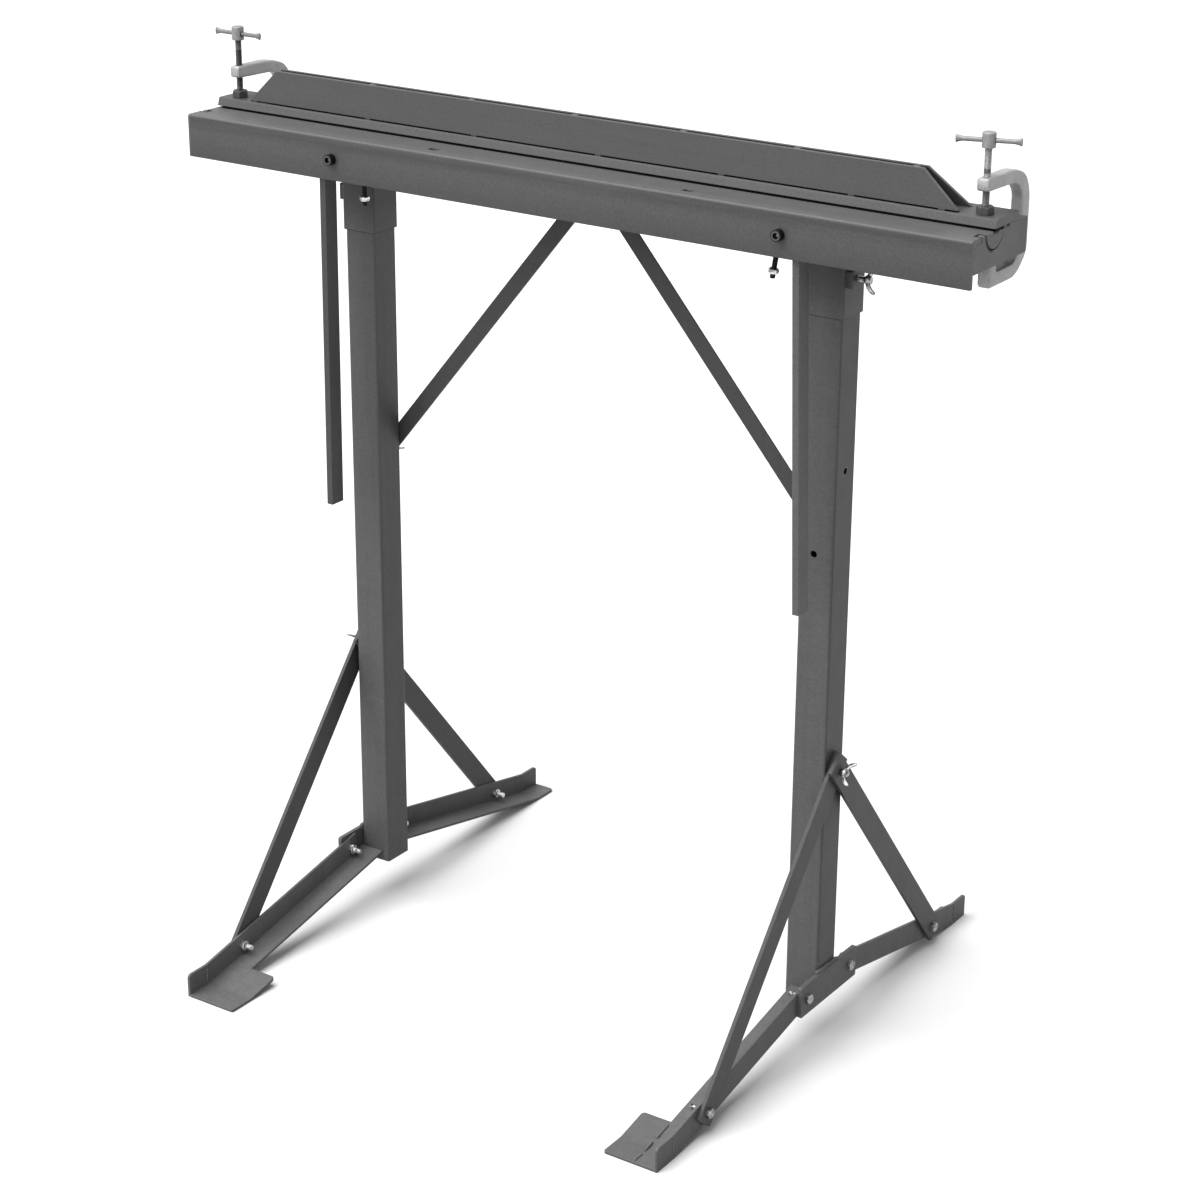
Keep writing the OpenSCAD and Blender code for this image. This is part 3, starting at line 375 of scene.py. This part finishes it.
def pick(piece, kind, test):
    """Opens the piece in edit mode with the faces or edges that test() takes selected."""
    only(piece)
    bpy.ops.object.mode_set(mode="EDIT")
    bpy.context.tool_settings.mesh_select_mode = (False, kind == "edges", kind == "faces")
    bpy.ops.mesh.select_all(action="DESELECT")
    bpy.ops.object.mode_set(mode="OBJECT")
    mesh = piece.data
    for part in mesh.polygons if kind == "faces" else mesh.edges:
        if kind == "faces":
            part.select = test(part.center, part.normal)
        else:
            a, b = (mesh.vertices[i].co for i in part.vertices)
            part.select = test(a, b)
    bpy.ops.object.mode_set(mode="EDIT")


def trim(piece, low, high):
    """Cuts off what lies below low and above high, and closes the cuts."""
    only(piece)
    for level, way in ((low, "clear_inner"), (high, "clear_outer")):
        bpy.ops.object.mode_set(mode="EDIT")
        bpy.ops.mesh.select_all(action="SELECT")
        bpy.ops.mesh.bisect(
            plane_co=(0, 0, level), plane_no=(0, 0, 1), use_fill=True, **{way: True}
        )
        bpy.ops.object.mode_set(mode="OBJECT")


def modify(piece, kind, **settings):
    """Adds a modifier and applies it."""
    only(piece)
    made = piece.modifiers.new(kind.lower(), kind)
    for name, value in settings.items():
        setattr(made, name, value)
    bpy.ops.object.modifier_apply(modifier=made.name)


def heal(piece):
    """Merges doubles and turns the faces outwards."""
    only(piece)
    bpy.ops.object.mode_set(mode="EDIT")
    bpy.ops.mesh.select_all(action="SELECT")
    bpy.ops.mesh.remove_doubles(threshold=0.00001)
    bpy.ops.mesh.normals_make_consistent(inside=False)
    bpy.ops.object.mode_set(mode="OBJECT")


def merge(name, pieces):
    """Joins the pieces into the first one."""
    only(pieces[0])
    for piece in pieces:
        piece.select_set(True)
    if len(pieces) > 1:
        bpy.ops.object.join()
    pieces[0].name = name
    return pieces[0]


def copies(name, pattern, places):
    """One piece made of copies of the pattern, each moved by its matrix. The pattern goes."""
    made = []
    for place in places:
        copy = bpy.data.objects.new(name, pattern.data.copy())
        bpy.context.scene.collection.objects.link(copy)
        copy.data.transform(place)
        made.append(copy)
    bpy.data.objects.remove(pattern)
    return merge(name, made)


def fit(piece, body, slot, coat, *replaced, smooth=35.0):
    """Last touches: smooth faces, finish, the body that carries it and the nodes it stands for."""
    settle(piece)
    bpy.ops.object.shade_smooth_by_angle(angle=math.radians(smooth))
    coat.dress(piece)
    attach(piece, body)
    if replaced:
        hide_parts(*replaced)


def at(x, y, z, *turns):
    """A place in millimetres in the frame, after turns like ("Y", 90)."""
    place = Matrix.Translation(Vector((x, y, z)) * mm)
    for axis, degrees in turns:
        place = place @ Matrix.Rotation(math.radians(degrees), 4, axis)
    return place


def lift(piece, height):
    """Moves a pattern along its axis."""
    piece.data.transform(Matrix.Translation((0, 0, height)))
    return piece


def hexagon(name, across, height, low_chamfer=False):
    """Hexagon with its corners turned off by a cone, standing on Z = 0."""
    middle = (0, 0, height / 2)
    corner_radius = across / 2 / math.cos(math.pi / 6)
    piece = add(
        "cylinder", name, vertices=6, radius=corner_radius, depth=height, location=middle
    )
    cone = add(
        "cylinder", "turning", vertices=48, radius=across / 2 * 1.17, depth=height, location=middle
    )
    for level in (height / 2, -height / 2) if low_chamfer else (height / 2,):
        pick(cone, "edges", lambda a, b: abs(a.z - level) + abs(b.z - level) < 1e-5)
        bpy.ops.mesh.bevel(offset=across * 0.11, segments=1)
    modify(piece, "BOOLEAN", operation="INTERSECT", object=cone, solver="EXACT")
    bpy.data.objects.remove(cone)
    return settle(piece)


def thread(name, length, radius, pitch=1.0 * mm):
    """Threaded rod from Z = 0 upwards: one tooth wound up by the Screw modifier, then cut."""
    depth = 0.61 * pitch
    piece = add("circle", name, vertices=3, radius=radius)
    corners = ((radius - depth, 0, 0), (radius, 0, pitch / 2), (radius - depth, 0, pitch))
    for vertex, corner in zip(piece.data.vertices, corners):
        vertex.co = corner
    pick(piece, "edges", lambda a, b: abs(abs(a.z - b.z) - pitch) < 1e-6)
    bpy.ops.mesh.delete(type="EDGE")
    only(piece)
    piece.location.z = -2 * pitch
    bpy.ops.object.transform_apply(location=True)
    modify(
        piece, "SCREW", axis="Z", screw_offset=pitch, iterations=int(length / pitch) + 4,
        steps=20, render_steps=20, use_merge_vertices=True, merge_threshold=1e-6,
    )
    trim(piece, 0.0, length)
    heal(piece)
    return piece


bolt_radius, spanner, head_high, nut_high = 3.175 * mm, 11.1 * mm, 4.2 * mm, 5.3 * mm


def bolt(name, reach):
    """Hexagon head on Z = 0 with its shank below it."""
    head = hexagon(f"{name}_head", spanner, head_high)
    shank = lift(thread(f"{name}_shank", reach, bolt_radius), -reach)
    return merge(f"{name}_bolt_pattern", [head, shank])


# In millimetres: the outer face of legs and feet, the feet's thickness, and how far in the bolts'
# tips reach. The bolts' heads lie on the bracket, or on a strut. The last turn, about Z, differs
# from one hexagon to the next, as after tightening by hand.
foot_side, foot_thick, tips_x = 331.05, 3.2, 313.05
bracket_bolt_y, bracket_bolt_z, bracket_out = 48, 69.839, 5.0
foot_bolt_y, foot_bolt_z, strut_out, far_strut_out = 258, 27.114, 4.7, 5.1
bolt_places = {
    "bracket": [
        (s, foot_side + bracket_out, y, bracket_bolt_z)
        for s in (1, -1) for y in (-bracket_bolt_y, bracket_bolt_y)
    ],
    "foot": [
        (s, foot_side + (far_strut_out if s * y > 0 else strut_out), y, foot_bolt_z)
        for s in (1, -1) for y in (-foot_bolt_y, foot_bolt_y)
    ],
}
for group, spots in bolt_places.items():
    reach = (spots[0][1] - tips_x) * mm
    fit(
        copies(f"{group}_bolt_set", bolt(group, reach),
               [at(s * x, y, z, ("Y", 90 * s), ("Z", 14 * y + 9 * s)) for s, x, y, z in spots]),
        "root", "zinc", zinc, f"{group}_bolts",
    )
    fit(
        copies(f"{group}_nut_set", hexagon(f"{group}_nut_pattern", spanner, nut_high),
               [at(s * (foot_side - foot_thick), y, z, ("Y", -90 * s), ("Z", 23 * y))
                for s, x, y, z in spots]),
        "root", "zinc", zinc, f"{group}_nuts",
    )


# Bolts of the braces: quarter inch, zinc plated like those of the feet, put from the front
# through the braces and the tab under the bed, with their nuts behind.
tab_x, tab_front, tab_back, tab_z = (11, -25), 17.45, 23.85, 932.633
fit(
    copies("tab_bolt_set", bolt("tab", 13.7 * mm),
           [at(x, tab_front, tab_z, ("X", 90), ("Z", 3 * x)) for x in tab_x]),
    "root", "zinc", zinc, "tab_bolts",
)
fit(
    copies("tab_nut_set", hexagon("tab_nut_pattern", spanner, nut_high),
           [at(x, tab_back, tab_z, ("X", -90), ("Z", 2 * x)) for x in tab_x]),
    "root", "zinc", zinc, "tab_nuts",
)


# Studs of struts and braces: zinc plated rod with a rolled thread, welded into the wall of each
# leg. The struts' one looks outwards, the braces' one to the back, and each takes a wing nut.
leg_x, strut_z, brace_z = 310.4, 337.033, 584.033
strut_stud_x, strut_stud_long = 326.05, 23.7 * mm
brace_stud_y, brace_stud_long = 15.65, 17.2 * mm
fit(
    copies("strut_stud_set", thread("stud_pattern", strut_stud_long, bolt_radius),
           [at(s * strut_stud_x, 0, strut_z, ("Y", 90 * s)) for s in (1, -1)]),
    "root", "zinc", zinc, "strut_studs",
)
fit(
    copies("brace_stud_set", thread("stud_pattern", brace_stud_long, bolt_radius),
           [at(s * leg_x, brace_stud_y, brace_z, ("X", -90)) for s in (1, -1)]),
    "root", "zinc", zinc, "brace_studs",
)


# Wing nuts and the thumb screw: pressed steel, zinc plated, with a ball-shaped middle and two
# rounded wings. The nuts hold struts and braces on their studs.
def trace(name, outline, thick):
    """Traces an outline in X and Z with a vertex, fills it and draws it out along Y."""
    start_x, start_z = outline[0]
    piece = add("plane", name, size=0.1 * mm, location=(start_x, -thick / 2, start_z))
    bpy.ops.object.mode_set(mode="EDIT")
    bpy.context.tool_settings.mesh_select_mode = (True, False, False)
    bpy.ops.mesh.merge(type="CENTER")
    for (x0, z0), (x1, z1) in zip(outline, outline[1:] + outline[:1]):
        bpy.ops.mesh.extrude_vertices_move(
            TRANSFORM_OT_translate={"value": (x1 - x0, 0, z1 - z0)}
        )
    bpy.ops.mesh.select_all(action="SELECT")
    bpy.ops.mesh.remove_doubles(threshold=0.000001)
    bpy.ops.mesh.select_all(action="SELECT")
    bpy.ops.mesh.edge_face_add()
    bpy.ops.mesh.extrude_region_move(TRANSFORM_OT_translate={"value": (0, thick, 0)})
    heal(piece)
    return settle(piece)


def wings(name):
    """Wing nut without its hole, standing on Z = 0, as wide as the CAD one."""
    profile = [(2.0, 1.2), (4.6, 1.4), (9.0, 3.6), (12.6, 7.6), (14.4, 11.0), (14.7, 13.2),
               (13.4, 14.4), (11.6, 14.0), (9.6, 11.2), (6.9, 8.4), (4.4, 6.7), (2.0, 6.4)]
    wing_thick, ball_radius, ball_z, ball_top = 2.4 * mm, 5.2 * mm, 3.9 * mm, 7.6 * mm
    wing = trace(name, [(x * mm, z * mm) for x, z in profile], wing_thick)
    modify(wing, "BEVEL", width=0.7 * mm, segments=2, limit_method="ANGLE",
           angle_limit=math.radians(50))
    pair = copies("wing_pair", wing, [Matrix.Identity(4), Matrix.Rotation(math.pi, 4, "Z")])
    middle = add("uv_sphere", "ball", segments=32, ring_count=16, radius=ball_radius)
    lift(middle, ball_z)
    trim(middle, 0.0, ball_top)
    return merge(name, [pair, middle])


sides = (("left", -1), ("right", 1))
strut_outside, brace_back = 340.9, 23.9
for (end, s), strut_turn, brace_turn in zip(sides, (64, -46), (0, 80)):
    fit(
        copies(f"strut_wing_nut_{end}", wings("wing_pattern"),
               [at(s * strut_outside, 0, strut_z, ("X", strut_turn), ("Y", 90 * s))]),
        f"strut_wing_{end}", "zinc", zinc, f"strut_wing_{end}", smooth=50,
    )
    fit(
        copies(f"brace_wing_nut_{end}", wings("wing_pattern"),
               [at(s * leg_x, brace_back, brace_z, ("Y", brace_turn), ("X", -90))]),
        f"brace_wing_{end}", "zinc", zinc, f"brace_wing_{end}", smooth=50,
    )

# The thumb screw of the right collar. The left collar's block is bare in the photo.
thumb_x, thumb_y, thumb_z = 348.1, -5, 904.533
thumb_long, thumb_sunk = 18.0 * mm, 16.9 * mm
screw = lift(thread("wing_thread", thumb_long, bolt_radius), -thumb_sunk)
fit(
    copies("thumb_screw", merge("thumb_pattern", [wings("wing_pattern"), screw]),
           [at(thumb_x, thumb_y, thumb_z, ("X", -18), ("Y", 90))]),
    "wing_screw", "zinc", zinc, "wing_screw", smooth=50,
)


# Screw clamps: a malleable iron C-frame with generous corner radii, whose foot lies under the
# bed, and a hub on top of the screw. Both are cast, in the same pale grey finish.
def iron(name, tone, hole=None):
    """Cast iron under a thin pale finish, fine grained with darker blotches. On a hub, hole is
    the place where the cross bar leaves it, and painted shade makes the gap round the bar near
    black.
    On a C-frame, painted shade darkens the upward faces over the lower arm."""
    coat = Coat(name, shine=0.4)
    soft_edge = coat.bevelled(0.0006)
    skin = coat.noise(120.0, 4.0)
    grain = coat.noise(1300.0, 2.0)
    blotch = coat.noise(38.0, 3.0)
    pits = coat.noise(520.0, 2.0).above(0.56, 0.7)
    # Painted shade: near black round the cross bar's exit on a hub, and darker on the frame's
    # upward faces over the lower arm.
    if hole:
        out, depth, height = coat.spot(hole)
        clearance_shade = 1 - coat.distance(depth, height).above(0.0031, 0.0034)
        light = 1 - 0.95 * out.above(-0.004, -0.003) * clearance_shade
    else:
        _, depth, height = coat.spot()
        hollow_shade = coat.zone((depth, height), (-0.002, 0.93), (0.05, 0.9462), 0.001)
        light = 1 - 0.8 * coat.facing("Z").above(0.3, 0.8) * hollow_shade
    cast = tone * (0.3 + 0.32 * skin + 0.3 * blotch + 0.2 * grain - 0.2 * pits)
    coat.feed(
        coat.shader,
        {
            "Base Color": coat.grey((cast + 0.1 * coat.edges(soft_edge)) * light),
            "Roughness": 0.36 + 0.2 * skin,
            "Metallic": 0.25,
            "Normal": coat.bumps(grain * 0.4 + skin - 0.5 * pits, 0.5, 0.0005, soft_edge),
        },
    )
    return coat


frame_wide, edge_radius = 14.0 * mm, 2.6 * mm

# In millimetres: both clamps, the arm's underside, the lower arm's top and the bed's underside.
clamp_x, screw_y = 487.0, -17.5
arm_z, lower_z, bed_z = 1020.533, 934.533, 949.633


def clamp_casting(name):
    """The C, traced in its own plane, for the caller to turn so that it stands along the frame's Y.
    Each corner has its Y, its Z and its radius."""
    corners = [(-26.5, arm_z, 3.2), (-26.5, arm_z + 13.5, 3.2), (34.0, arm_z + 13.0, 12),
               (59.5, arm_z + 4.5, 10), (70.5, arm_z - 16.0, 10), (70.5, lower_z + 6.0, 8),
               (48.5, lower_z - 16.0, 14), (-13.5, lower_z - 16.0, 5), (-13.5, bed_z, 0),
               (1.0, bed_z, 0), (2.0, lower_z, 3), (41.0, lower_z, 6),
               (53.0, lower_z + 12.0, 6), (53.0, arm_z - 16.0, 6), (40.0, arm_z - 2.0, 8)]
    piece = trace(name, [(y * mm, z * mm) for y, z, radius in corners], frame_wide)
    for y, z, radius in corners:
        if radius == 0:
            continue
        corner = Vector((y * mm, z * mm))
        pick(piece, "edges",
             lambda a, b: (a.xz - corner).length + (b.xz - corner).length < 0.00002)
        bpy.ops.mesh.bevel(offset=radius * mm * 0.9, segments=6 if radius > 4 else 3)
        bpy.ops.object.mode_set(mode="OBJECT")
    modify(piece, "BEVEL", width=edge_radius, segments=4, limit_method="ANGLE",
           angle_limit=math.radians(60), use_clamp_overlap=False)
    return piece


pale_iron = iron("pale_iron", 0.54)
bar_exits = ((-0.4799, -0.0178, 1.0707), (0.4938, -0.0157, 1.0707))
for (end, s), bar_exit in zip(sides, bar_exits):
    fit(
        copies(f"clamp_casting_{end}", clamp_casting("casting_pattern"),
               [at(s * clamp_x, 0, 0, ("Z", 90))]),
        "root", "casting", pale_iron, f"clamp_frame_{end}", smooth=40,
    )
    iron(f"hub_iron_{end}", 0.36, bar_exit).dress(nodes[f"screw_hub_{end}"])


# Cross bars: short rods with their ends hammered flat and flared, loose in the hub. A painted
# highlight makes them lighter where they face +X, and painted shade darker where they face -X.
cross_bar_coat = Coat("cross_bar_iron", rough=0.3, metal=0.5)
bar_round_edge = cross_bar_coat.bevelled(0.0005)
forge = cross_bar_coat.noise(240.0, 3.0)
# Painted highlight and shade: lighter where the surface faces +X, darker where it faces -X.
painted_light_side = cross_bar_coat.facing("X").above(-0.6, 0.5)
cross_bar_coat.feed(
    cross_bar_coat.shader,
    {
        "Base Color": cross_bar_coat.grey((0.08 + 0.15 * painted_light_side) * (0.6 + 0.8 * forge)),
        "Roughness": 0.25 + 0.25 * forge,
        "Normal": cross_bar_coat.bumps(forge, 0.4, 0.0004, bar_round_edge),
    },
)


def tommy_bar(name, length=67.0 * mm, radius=2.5 * mm):
    """Rod along Z. Each step of its flared ends has a length, a width and a thickness, the
    last two as shares of the step before."""
    flare = ((4.0, 1.32, 0.94), (2.4, 1.3, 0.9), (0.8, 0.94, 0.92), (0.3, 0.72, 0.7))
    flare_long = sum(step for step, wide, thin in flare) * mm
    piece = add("cylinder", name, vertices=24, radius=radius, depth=length - 2 * flare_long)
    for way in (1, -1):
        pick(piece, "faces", lambda centre, normal: normal.z * way > 0.9)
        for step, wide, thin in flare:
            bpy.ops.mesh.extrude_region_move(
                TRANSFORM_OT_translate={"value": (0, 0, way * step * mm)}
            )
            bpy.ops.transform.resize(value=(wide, thin, 1))
        bpy.ops.object.mode_set(mode="OBJECT")
    return piece


cross_z = 1071.033
for (end, s), slip, turn in zip(sides, (0.5, 0.0537), (0.0, 17.5)):
    middle = at(s * clamp_x, screw_y, cross_z, ("Z", turn)) @ at(slip, 0, 0, ("Y", 90))
    fit(
        copies(f"tommy_bar_{end}", tommy_bar("bar_pattern"), [middle]),
        f"cross_bar_{end}", "casting", cross_bar_coat, f"cross_bar_{end}", smooth=40,
    )


# Clamp screws: 8 mm steel, dull where it is dry and darker in bands, partly where grease and
# swarf sit in the thread and partly painted shade: most of the left screw, and the right one below
# the clamp's arm. Each one ends in a seat nut, an enamelled hexagon that is welded to the bar.
def greased_and_shaded(name, dark_bands):
    """Bare steel thread, darker in bands of greased thread and painted shade. Each band has a
    lower and an upper height and its darkness.
    """
    coat = Coat(name, rough=0.38, metal=0.9)
    height = coat.spot()[2]
    speckle = coat.noise(900.0, 2.0)
    grease_and_shade = sum(
        darkness * coat.zone((height,), (low,), (high,), 0.0006) for low, high, darkness in dark_bands
    )
    coat.feed(
        coat.shader,
        {
            "Base Color": coat.grey((0.16 + 0.5 * speckle) * (1 - grease_and_shade)),
            "Roughness": 0.3 + 0.3 * speckle,
        },
    )
    return coat


bar_top, seat_gap = 996.533, 0.08
screw_long, screw_radius, screw_pitch = 69.4 * mm, 4.0 * mm, 1.411 * mm
seat_wide, seat_high = 16.2 * mm, 8.5 * mm
# Darker bands, partly grease and partly painted shade: the left screw is mostly in painted shade,
# and the right one below the clamp's arm.
grease_and_shade_bands = {
    "left": ((0.99, 1.034, 0.65), (1.034, 1.0515, 0.74), (1.0515, 1.07, 0.5)),
    "right": ((0.99, 1.0205, 0.4), (1.038, 1.0425, 0.55)),
}
for (end, s), seat_turn in zip(sides, (-27, -18)):
    fit(
        copies(f"clamp_thread_{end}",
               thread("screw_pattern", screw_long, screw_radius, screw_pitch),
               [at(s * clamp_x, screw_y, bar_top + seat_gap)]),
        f"clamp_screw_{end}", "steel", greased_and_shaded(f"greased_and_shaded_steel_{end}", grease_and_shade_bands[end]),
        f"clamp_screw_{end}",
    )
    # The seat nuts take a darker copy of the enamel, as painted shade.
    fit(
        copies(f"seat_nut_{end}", hexagon("bar_nut_pattern", seat_wide, seat_high),
               [at(s * clamp_x, screw_y, bar_top, ("Z", seat_turn))]),
        "clamp_bar", "paint", enamel_painted_deeper_shade, f"bar_nut_{end}",
    )


# Cap screws: 8 mm, blackened, with a hexagon socket. They hold the handles' carriers from the
# front of the leaf. Their edges and a ring round each socket are lighter, and a painted highlight
# sits at the bottom of each socket.
leaf_front, cap_z, cap_places = -84.0, 960.033, (289.6, -297.0)
blacked = Coat("black_oxide", rough=0.4, metal=0.0, shine=0.12)
blacked_edge = blacked.bevelled(0.0005)
head_front_face = 1 - blacked.facing("Y").above(-0.98, -0.9)
cap_spots = [blacked.spot((x * mm, leaf_front * mm, cap_z * mm)) for x in cap_places]
off_axis = [blacked.distance(along, height) for along, _, height in cap_spots]
socket_ring = sum(
    away.above(0.0034, 0.0038) * (1 - away.above(0.0046, 0.0052)) for away in off_axis
)
# A painted highlight at the bottom of each socket.
in_socket = 1 - cap_spots[0][1].above(-0.003, -0.0025)
painted_glint = sum(1 - away.above(0.0008, 0.0016) for away in off_axis) * in_socket
black = 0.003 + 0.004 * blacked.noise(400.0, 2.0) + (0.012 + 0.1 * socket_ring) * head_front_face
blacked.feed(
    blacked.shader,
    {
        "Base Color": blacked.grey(black + 0.09 * blacked.edges(blacked_edge) + 0.5 * painted_glint),
        "Roughness": 0.3 + 0.2 * blacked.noise(700.0, 2.0),
        "Normal": blacked_edge,
    },
)
cap_high, cap_radius, socket_radius = 8.0 * mm, 6.35 * mm, 3.6 * mm
cap_shank_long, cap_shank_radius, cap_pitch = 15.5 * mm, 4.0 * mm, 1.25 * mm
head = add("cylinder", "cap_head", vertices=64, radius=cap_radius, depth=cap_high,
           location=(0, 0, cap_high / 2))
pick(head, "edges", lambda a, b: abs(a.z - cap_high / 2) + abs(b.z - cap_high / 2) < 1e-5)
bpy.ops.mesh.bevel(offset=0.9 * mm, segments=3)
socket = add("cylinder", "socket", vertices=6, radius=socket_radius, depth=cap_high,
             location=(0, 0, cap_high))
modify(head, "BOOLEAN", operation="DIFFERENCE", object=socket, solver="EXACT")
bpy.data.objects.remove(socket)
settle(head)
shank = thread("cap_shank", cap_shank_long, cap_shank_radius, cap_pitch)
lift(shank, -cap_shank_long)
fit(
    copies("socket_screw_set", merge("cap_pattern", [head, shank]),
           [at(x, leaf_front, cap_z, ("X", 90), ("Z", x / 15)) for x in cap_places]),
    "leaf", "blacked", blacked, "cap_screws",
)


# Stop bolts: 6 mm hexagon bolts, blackened, that hang through the carriers by their heads. Each
# has a zinc plated nut near its tip, and the right one leans.
stop_x, stop_y, stop_z, tip_long = 269.6, -60.0, 911.533, 5.5
stop_radius, stop_head_wide, stop_head_high = 3.0 * mm, 9.6 * mm, 6.0 * mm
stop_nut_wide, stop_nut_high = 10.0 * mm, 5.0 * mm
leans = ((1, 9.0, 39.82), (-1, 0.0, 38.55))
hung = [at(s * stop_x, stop_y, stop_z, ("Y", s * lean)) for s, lean, seat in leans]
bolts = []
for place, (s, lean, seat) in zip(hung, leans):
    rod = lift(thread("stop_rod", (seat + tip_long) * mm, stop_radius), -tip_long * mm)
    head = lift(hexagon("stop_head", stop_head_wide, stop_head_high), seat * mm)
    bolts.append(copies("stop_bolt", merge("stop_pattern", [rod, head]), [place]))
fit(merge("stop_bolt_set", bolts), "leaf", "blacked", blacked, "stop_bolts")
stop_nut = hexagon("stop_nut_pattern", stop_nut_wide, stop_nut_high, low_chamfer=True)
fit(copies("stop_nut_set", stop_nut, hung), "leaf", "zinc", zinc, "stop_nuts")


# Weld beads: rows of overlapping drops of steel that tie plates and tubes together, laid by hand
# and painted over with the same enamel.
random.seed(7)


def bead(name, rows, size):
    """One bead from each start to its end, in millimetres, as a row of flattened drops."""
    drops = []
    for start, end in rows:
        a, b = Vector(start), Vector(end)
        count = max(2, int((b - a).length / (size * 0.55)) + 1)
        for k in range(count):
            wide = size * random.uniform(0.9, 1.15)
            turn = Matrix.Rotation(random.uniform(0, 6.28), 4, (b - a).normalized())
            deep = wide * random.uniform(0.85, 1.0)
            high = wide * random.uniform(0.85, 1.1)
            place = Matrix.Translation(a.lerp(b, k / (count - 1)) * mm)
            drops.append(place @ turn @ Matrix.Diagonal((wide, deep, high, 1)))
    drop = add("ico_sphere", "drop", subdivisions=2, radius=0.5 * mm)
    fit(copies(name, drop, drops), "root", "paint", enamel, smooth=80)


# In millimetres: the edges that the beads run along.
bracket_low, bracket_high = 50.533, 38.4
bracket_top = bracket_low + bracket_high
collar_out, collar_half, collar_top = 23.0, 22.6, 949.2
bend_y, bend_low, bend_high = 323.0, 5.0, 27.0
block_x, block_edges, block_low, block_high = 333.6, (-18.2, 8.2), 896.5, 912.5
for end, s in sides:
    bead(f"bracket_weld_{end}",
         [((s * 333.0, -20.0, bracket_top + 0.8), (s * 333.0, 20.0, bracket_top + 0.8)),
          ((s * 332.6, -17.0, bracket_top + 1.5), (s * 332.6, 2.0, bracket_top + 1.5)),
          ((s * 332.2, -21.0, bracket_top - 3.0), (s * 332.2, -21.0, bracket_top + 1.2))], 5.4)
    bead(f"collar_weld_{end}",
         [((s * (leg_x - collar_half), y, collar_top), (s * (leg_x + collar_half), y, collar_top))
          for y in (-collar_out, collar_out)]
         + [((s * x, -collar_half, collar_top), (s * x, collar_half, collar_top))
            for x in (leg_x - collar_out, leg_x + collar_out)], 2.6)
    bead(f"bend_weld_{end}",
         [((s * x, y, bend_low), (s * x, y, bend_high))
          for x in (foot_side, foot_side - foot_thick) for y in (-bend_y, bend_y)], 1.5)
    bead(f"block_weld_{end}",
         [((s * block_x, y, block_low), (s * block_x, y, block_high)) for y in block_edges], 2.2)

# Only the right pad's seam still shows from above; the left one is ground flush.
bead("pad_weld",
     [((299.0, -284.0, 10.4), (299.0, -304.0, 6.6)),
      ((298.4, -314.0, 4.7), (299.4, -328.0, 3.1)),
      ((300.2, -338.0, 2.9), (300.2, -350.0, 2.8))], 4.4)


# Floor, lamps and camera: a pale studio sweep that runs out to white, under wide soft lamps from
# above and from the front left. The camera stands ahead of the right end, above the bed.
def seen(coat):
    """1 where the ray comes from the camera, a gloss or a glass."""
    camera_ray, gloss, glass = (
        coat.node("ShaderNodeLightPath", out=f"Is {kind} Ray")
        for kind in ("Camera", "Glossy", "Transmission")
    )
    either = camera_ray.maths("MAXIMUM", camera_ray, gloss)
    return either.maths("MAXIMUM", either, glass)


ground = add("grid", "studio_floor", x_subdivisions=4, y_subdivisions=4, size=80.0,
             location=(0, 0, -0.0002))
paper = Coat("pale_paper", rough=0.9, shine=0.0)
paper.feed(paper.shader, {"Base Color": paper.grey(0.3 + 0.5 * seen(paper))})
paper.dress(ground)

world = bpy.data.worlds.new("studio")
bpy.context.scene.world = world
world.use_nodes = True


class Sky(Coat):
    """The world's own nodes, made in the same way as a material's."""

    def __init__(self, world):
        self.tree = world.node_tree
        self.shader = self.tree.nodes["Background"]


sky = Sky(world)
sky.feed(sky.shader, {"Color": sky.grey(0.35 + 0.65 * seen(sky)), "Strength": 1.0})

lamp_spread = 60.0
for name, strength, toward in (
    ("top_lamp", 4.0, (-0.25, -0.35, 1.0)),
    ("front_lamp", 1.4, (-0.3, -1.0, 0.35)),
):
    lamp = bpy.data.lights.new(name, "SUN")
    lamp.energy = strength
    lamp.angle = math.radians(lamp_spread)
    holder = bpy.data.objects.new(name, lamp)
    holder.rotation_mode = "QUATERNION"
    holder.rotation_quaternion = Vector(toward).to_track_quat("Z", "Y")
    bpy.context.scene.collection.objects.link(holder)

stand_point = (1.71856, -2.52629, 1.68209)
yaw, pitch, roll = (math.radians(a) for a in (33.99, -21.71, 0.35))
ahead = Vector(
    (-math.sin(yaw) * math.cos(pitch), math.cos(yaw) * math.cos(pitch), math.sin(pitch))
)
side = Vector((math.cos(yaw), math.sin(yaw), 0))
up = side.cross(ahead)
rolled_side = math.cos(roll) * side + math.sin(roll) * up
rolled_up = math.cos(roll) * up - math.sin(roll) * side
turned = Matrix((rolled_side, rolled_up, -ahead)).transposed().to_4x4()
lens = bpy.data.cameras.new("studio_camera")
lens.lens = 85.04
lens.sensor_width = 36.0
camera = bpy.data.objects.new("studio_camera", lens)
camera.matrix_world = Matrix.Translation(stand_point) @ turned
bpy.context.scene.collection.objects.link(camera)
bpy.context.scene.camera = camera
bpy.context.scene.view_settings.view_transform = "Standard"
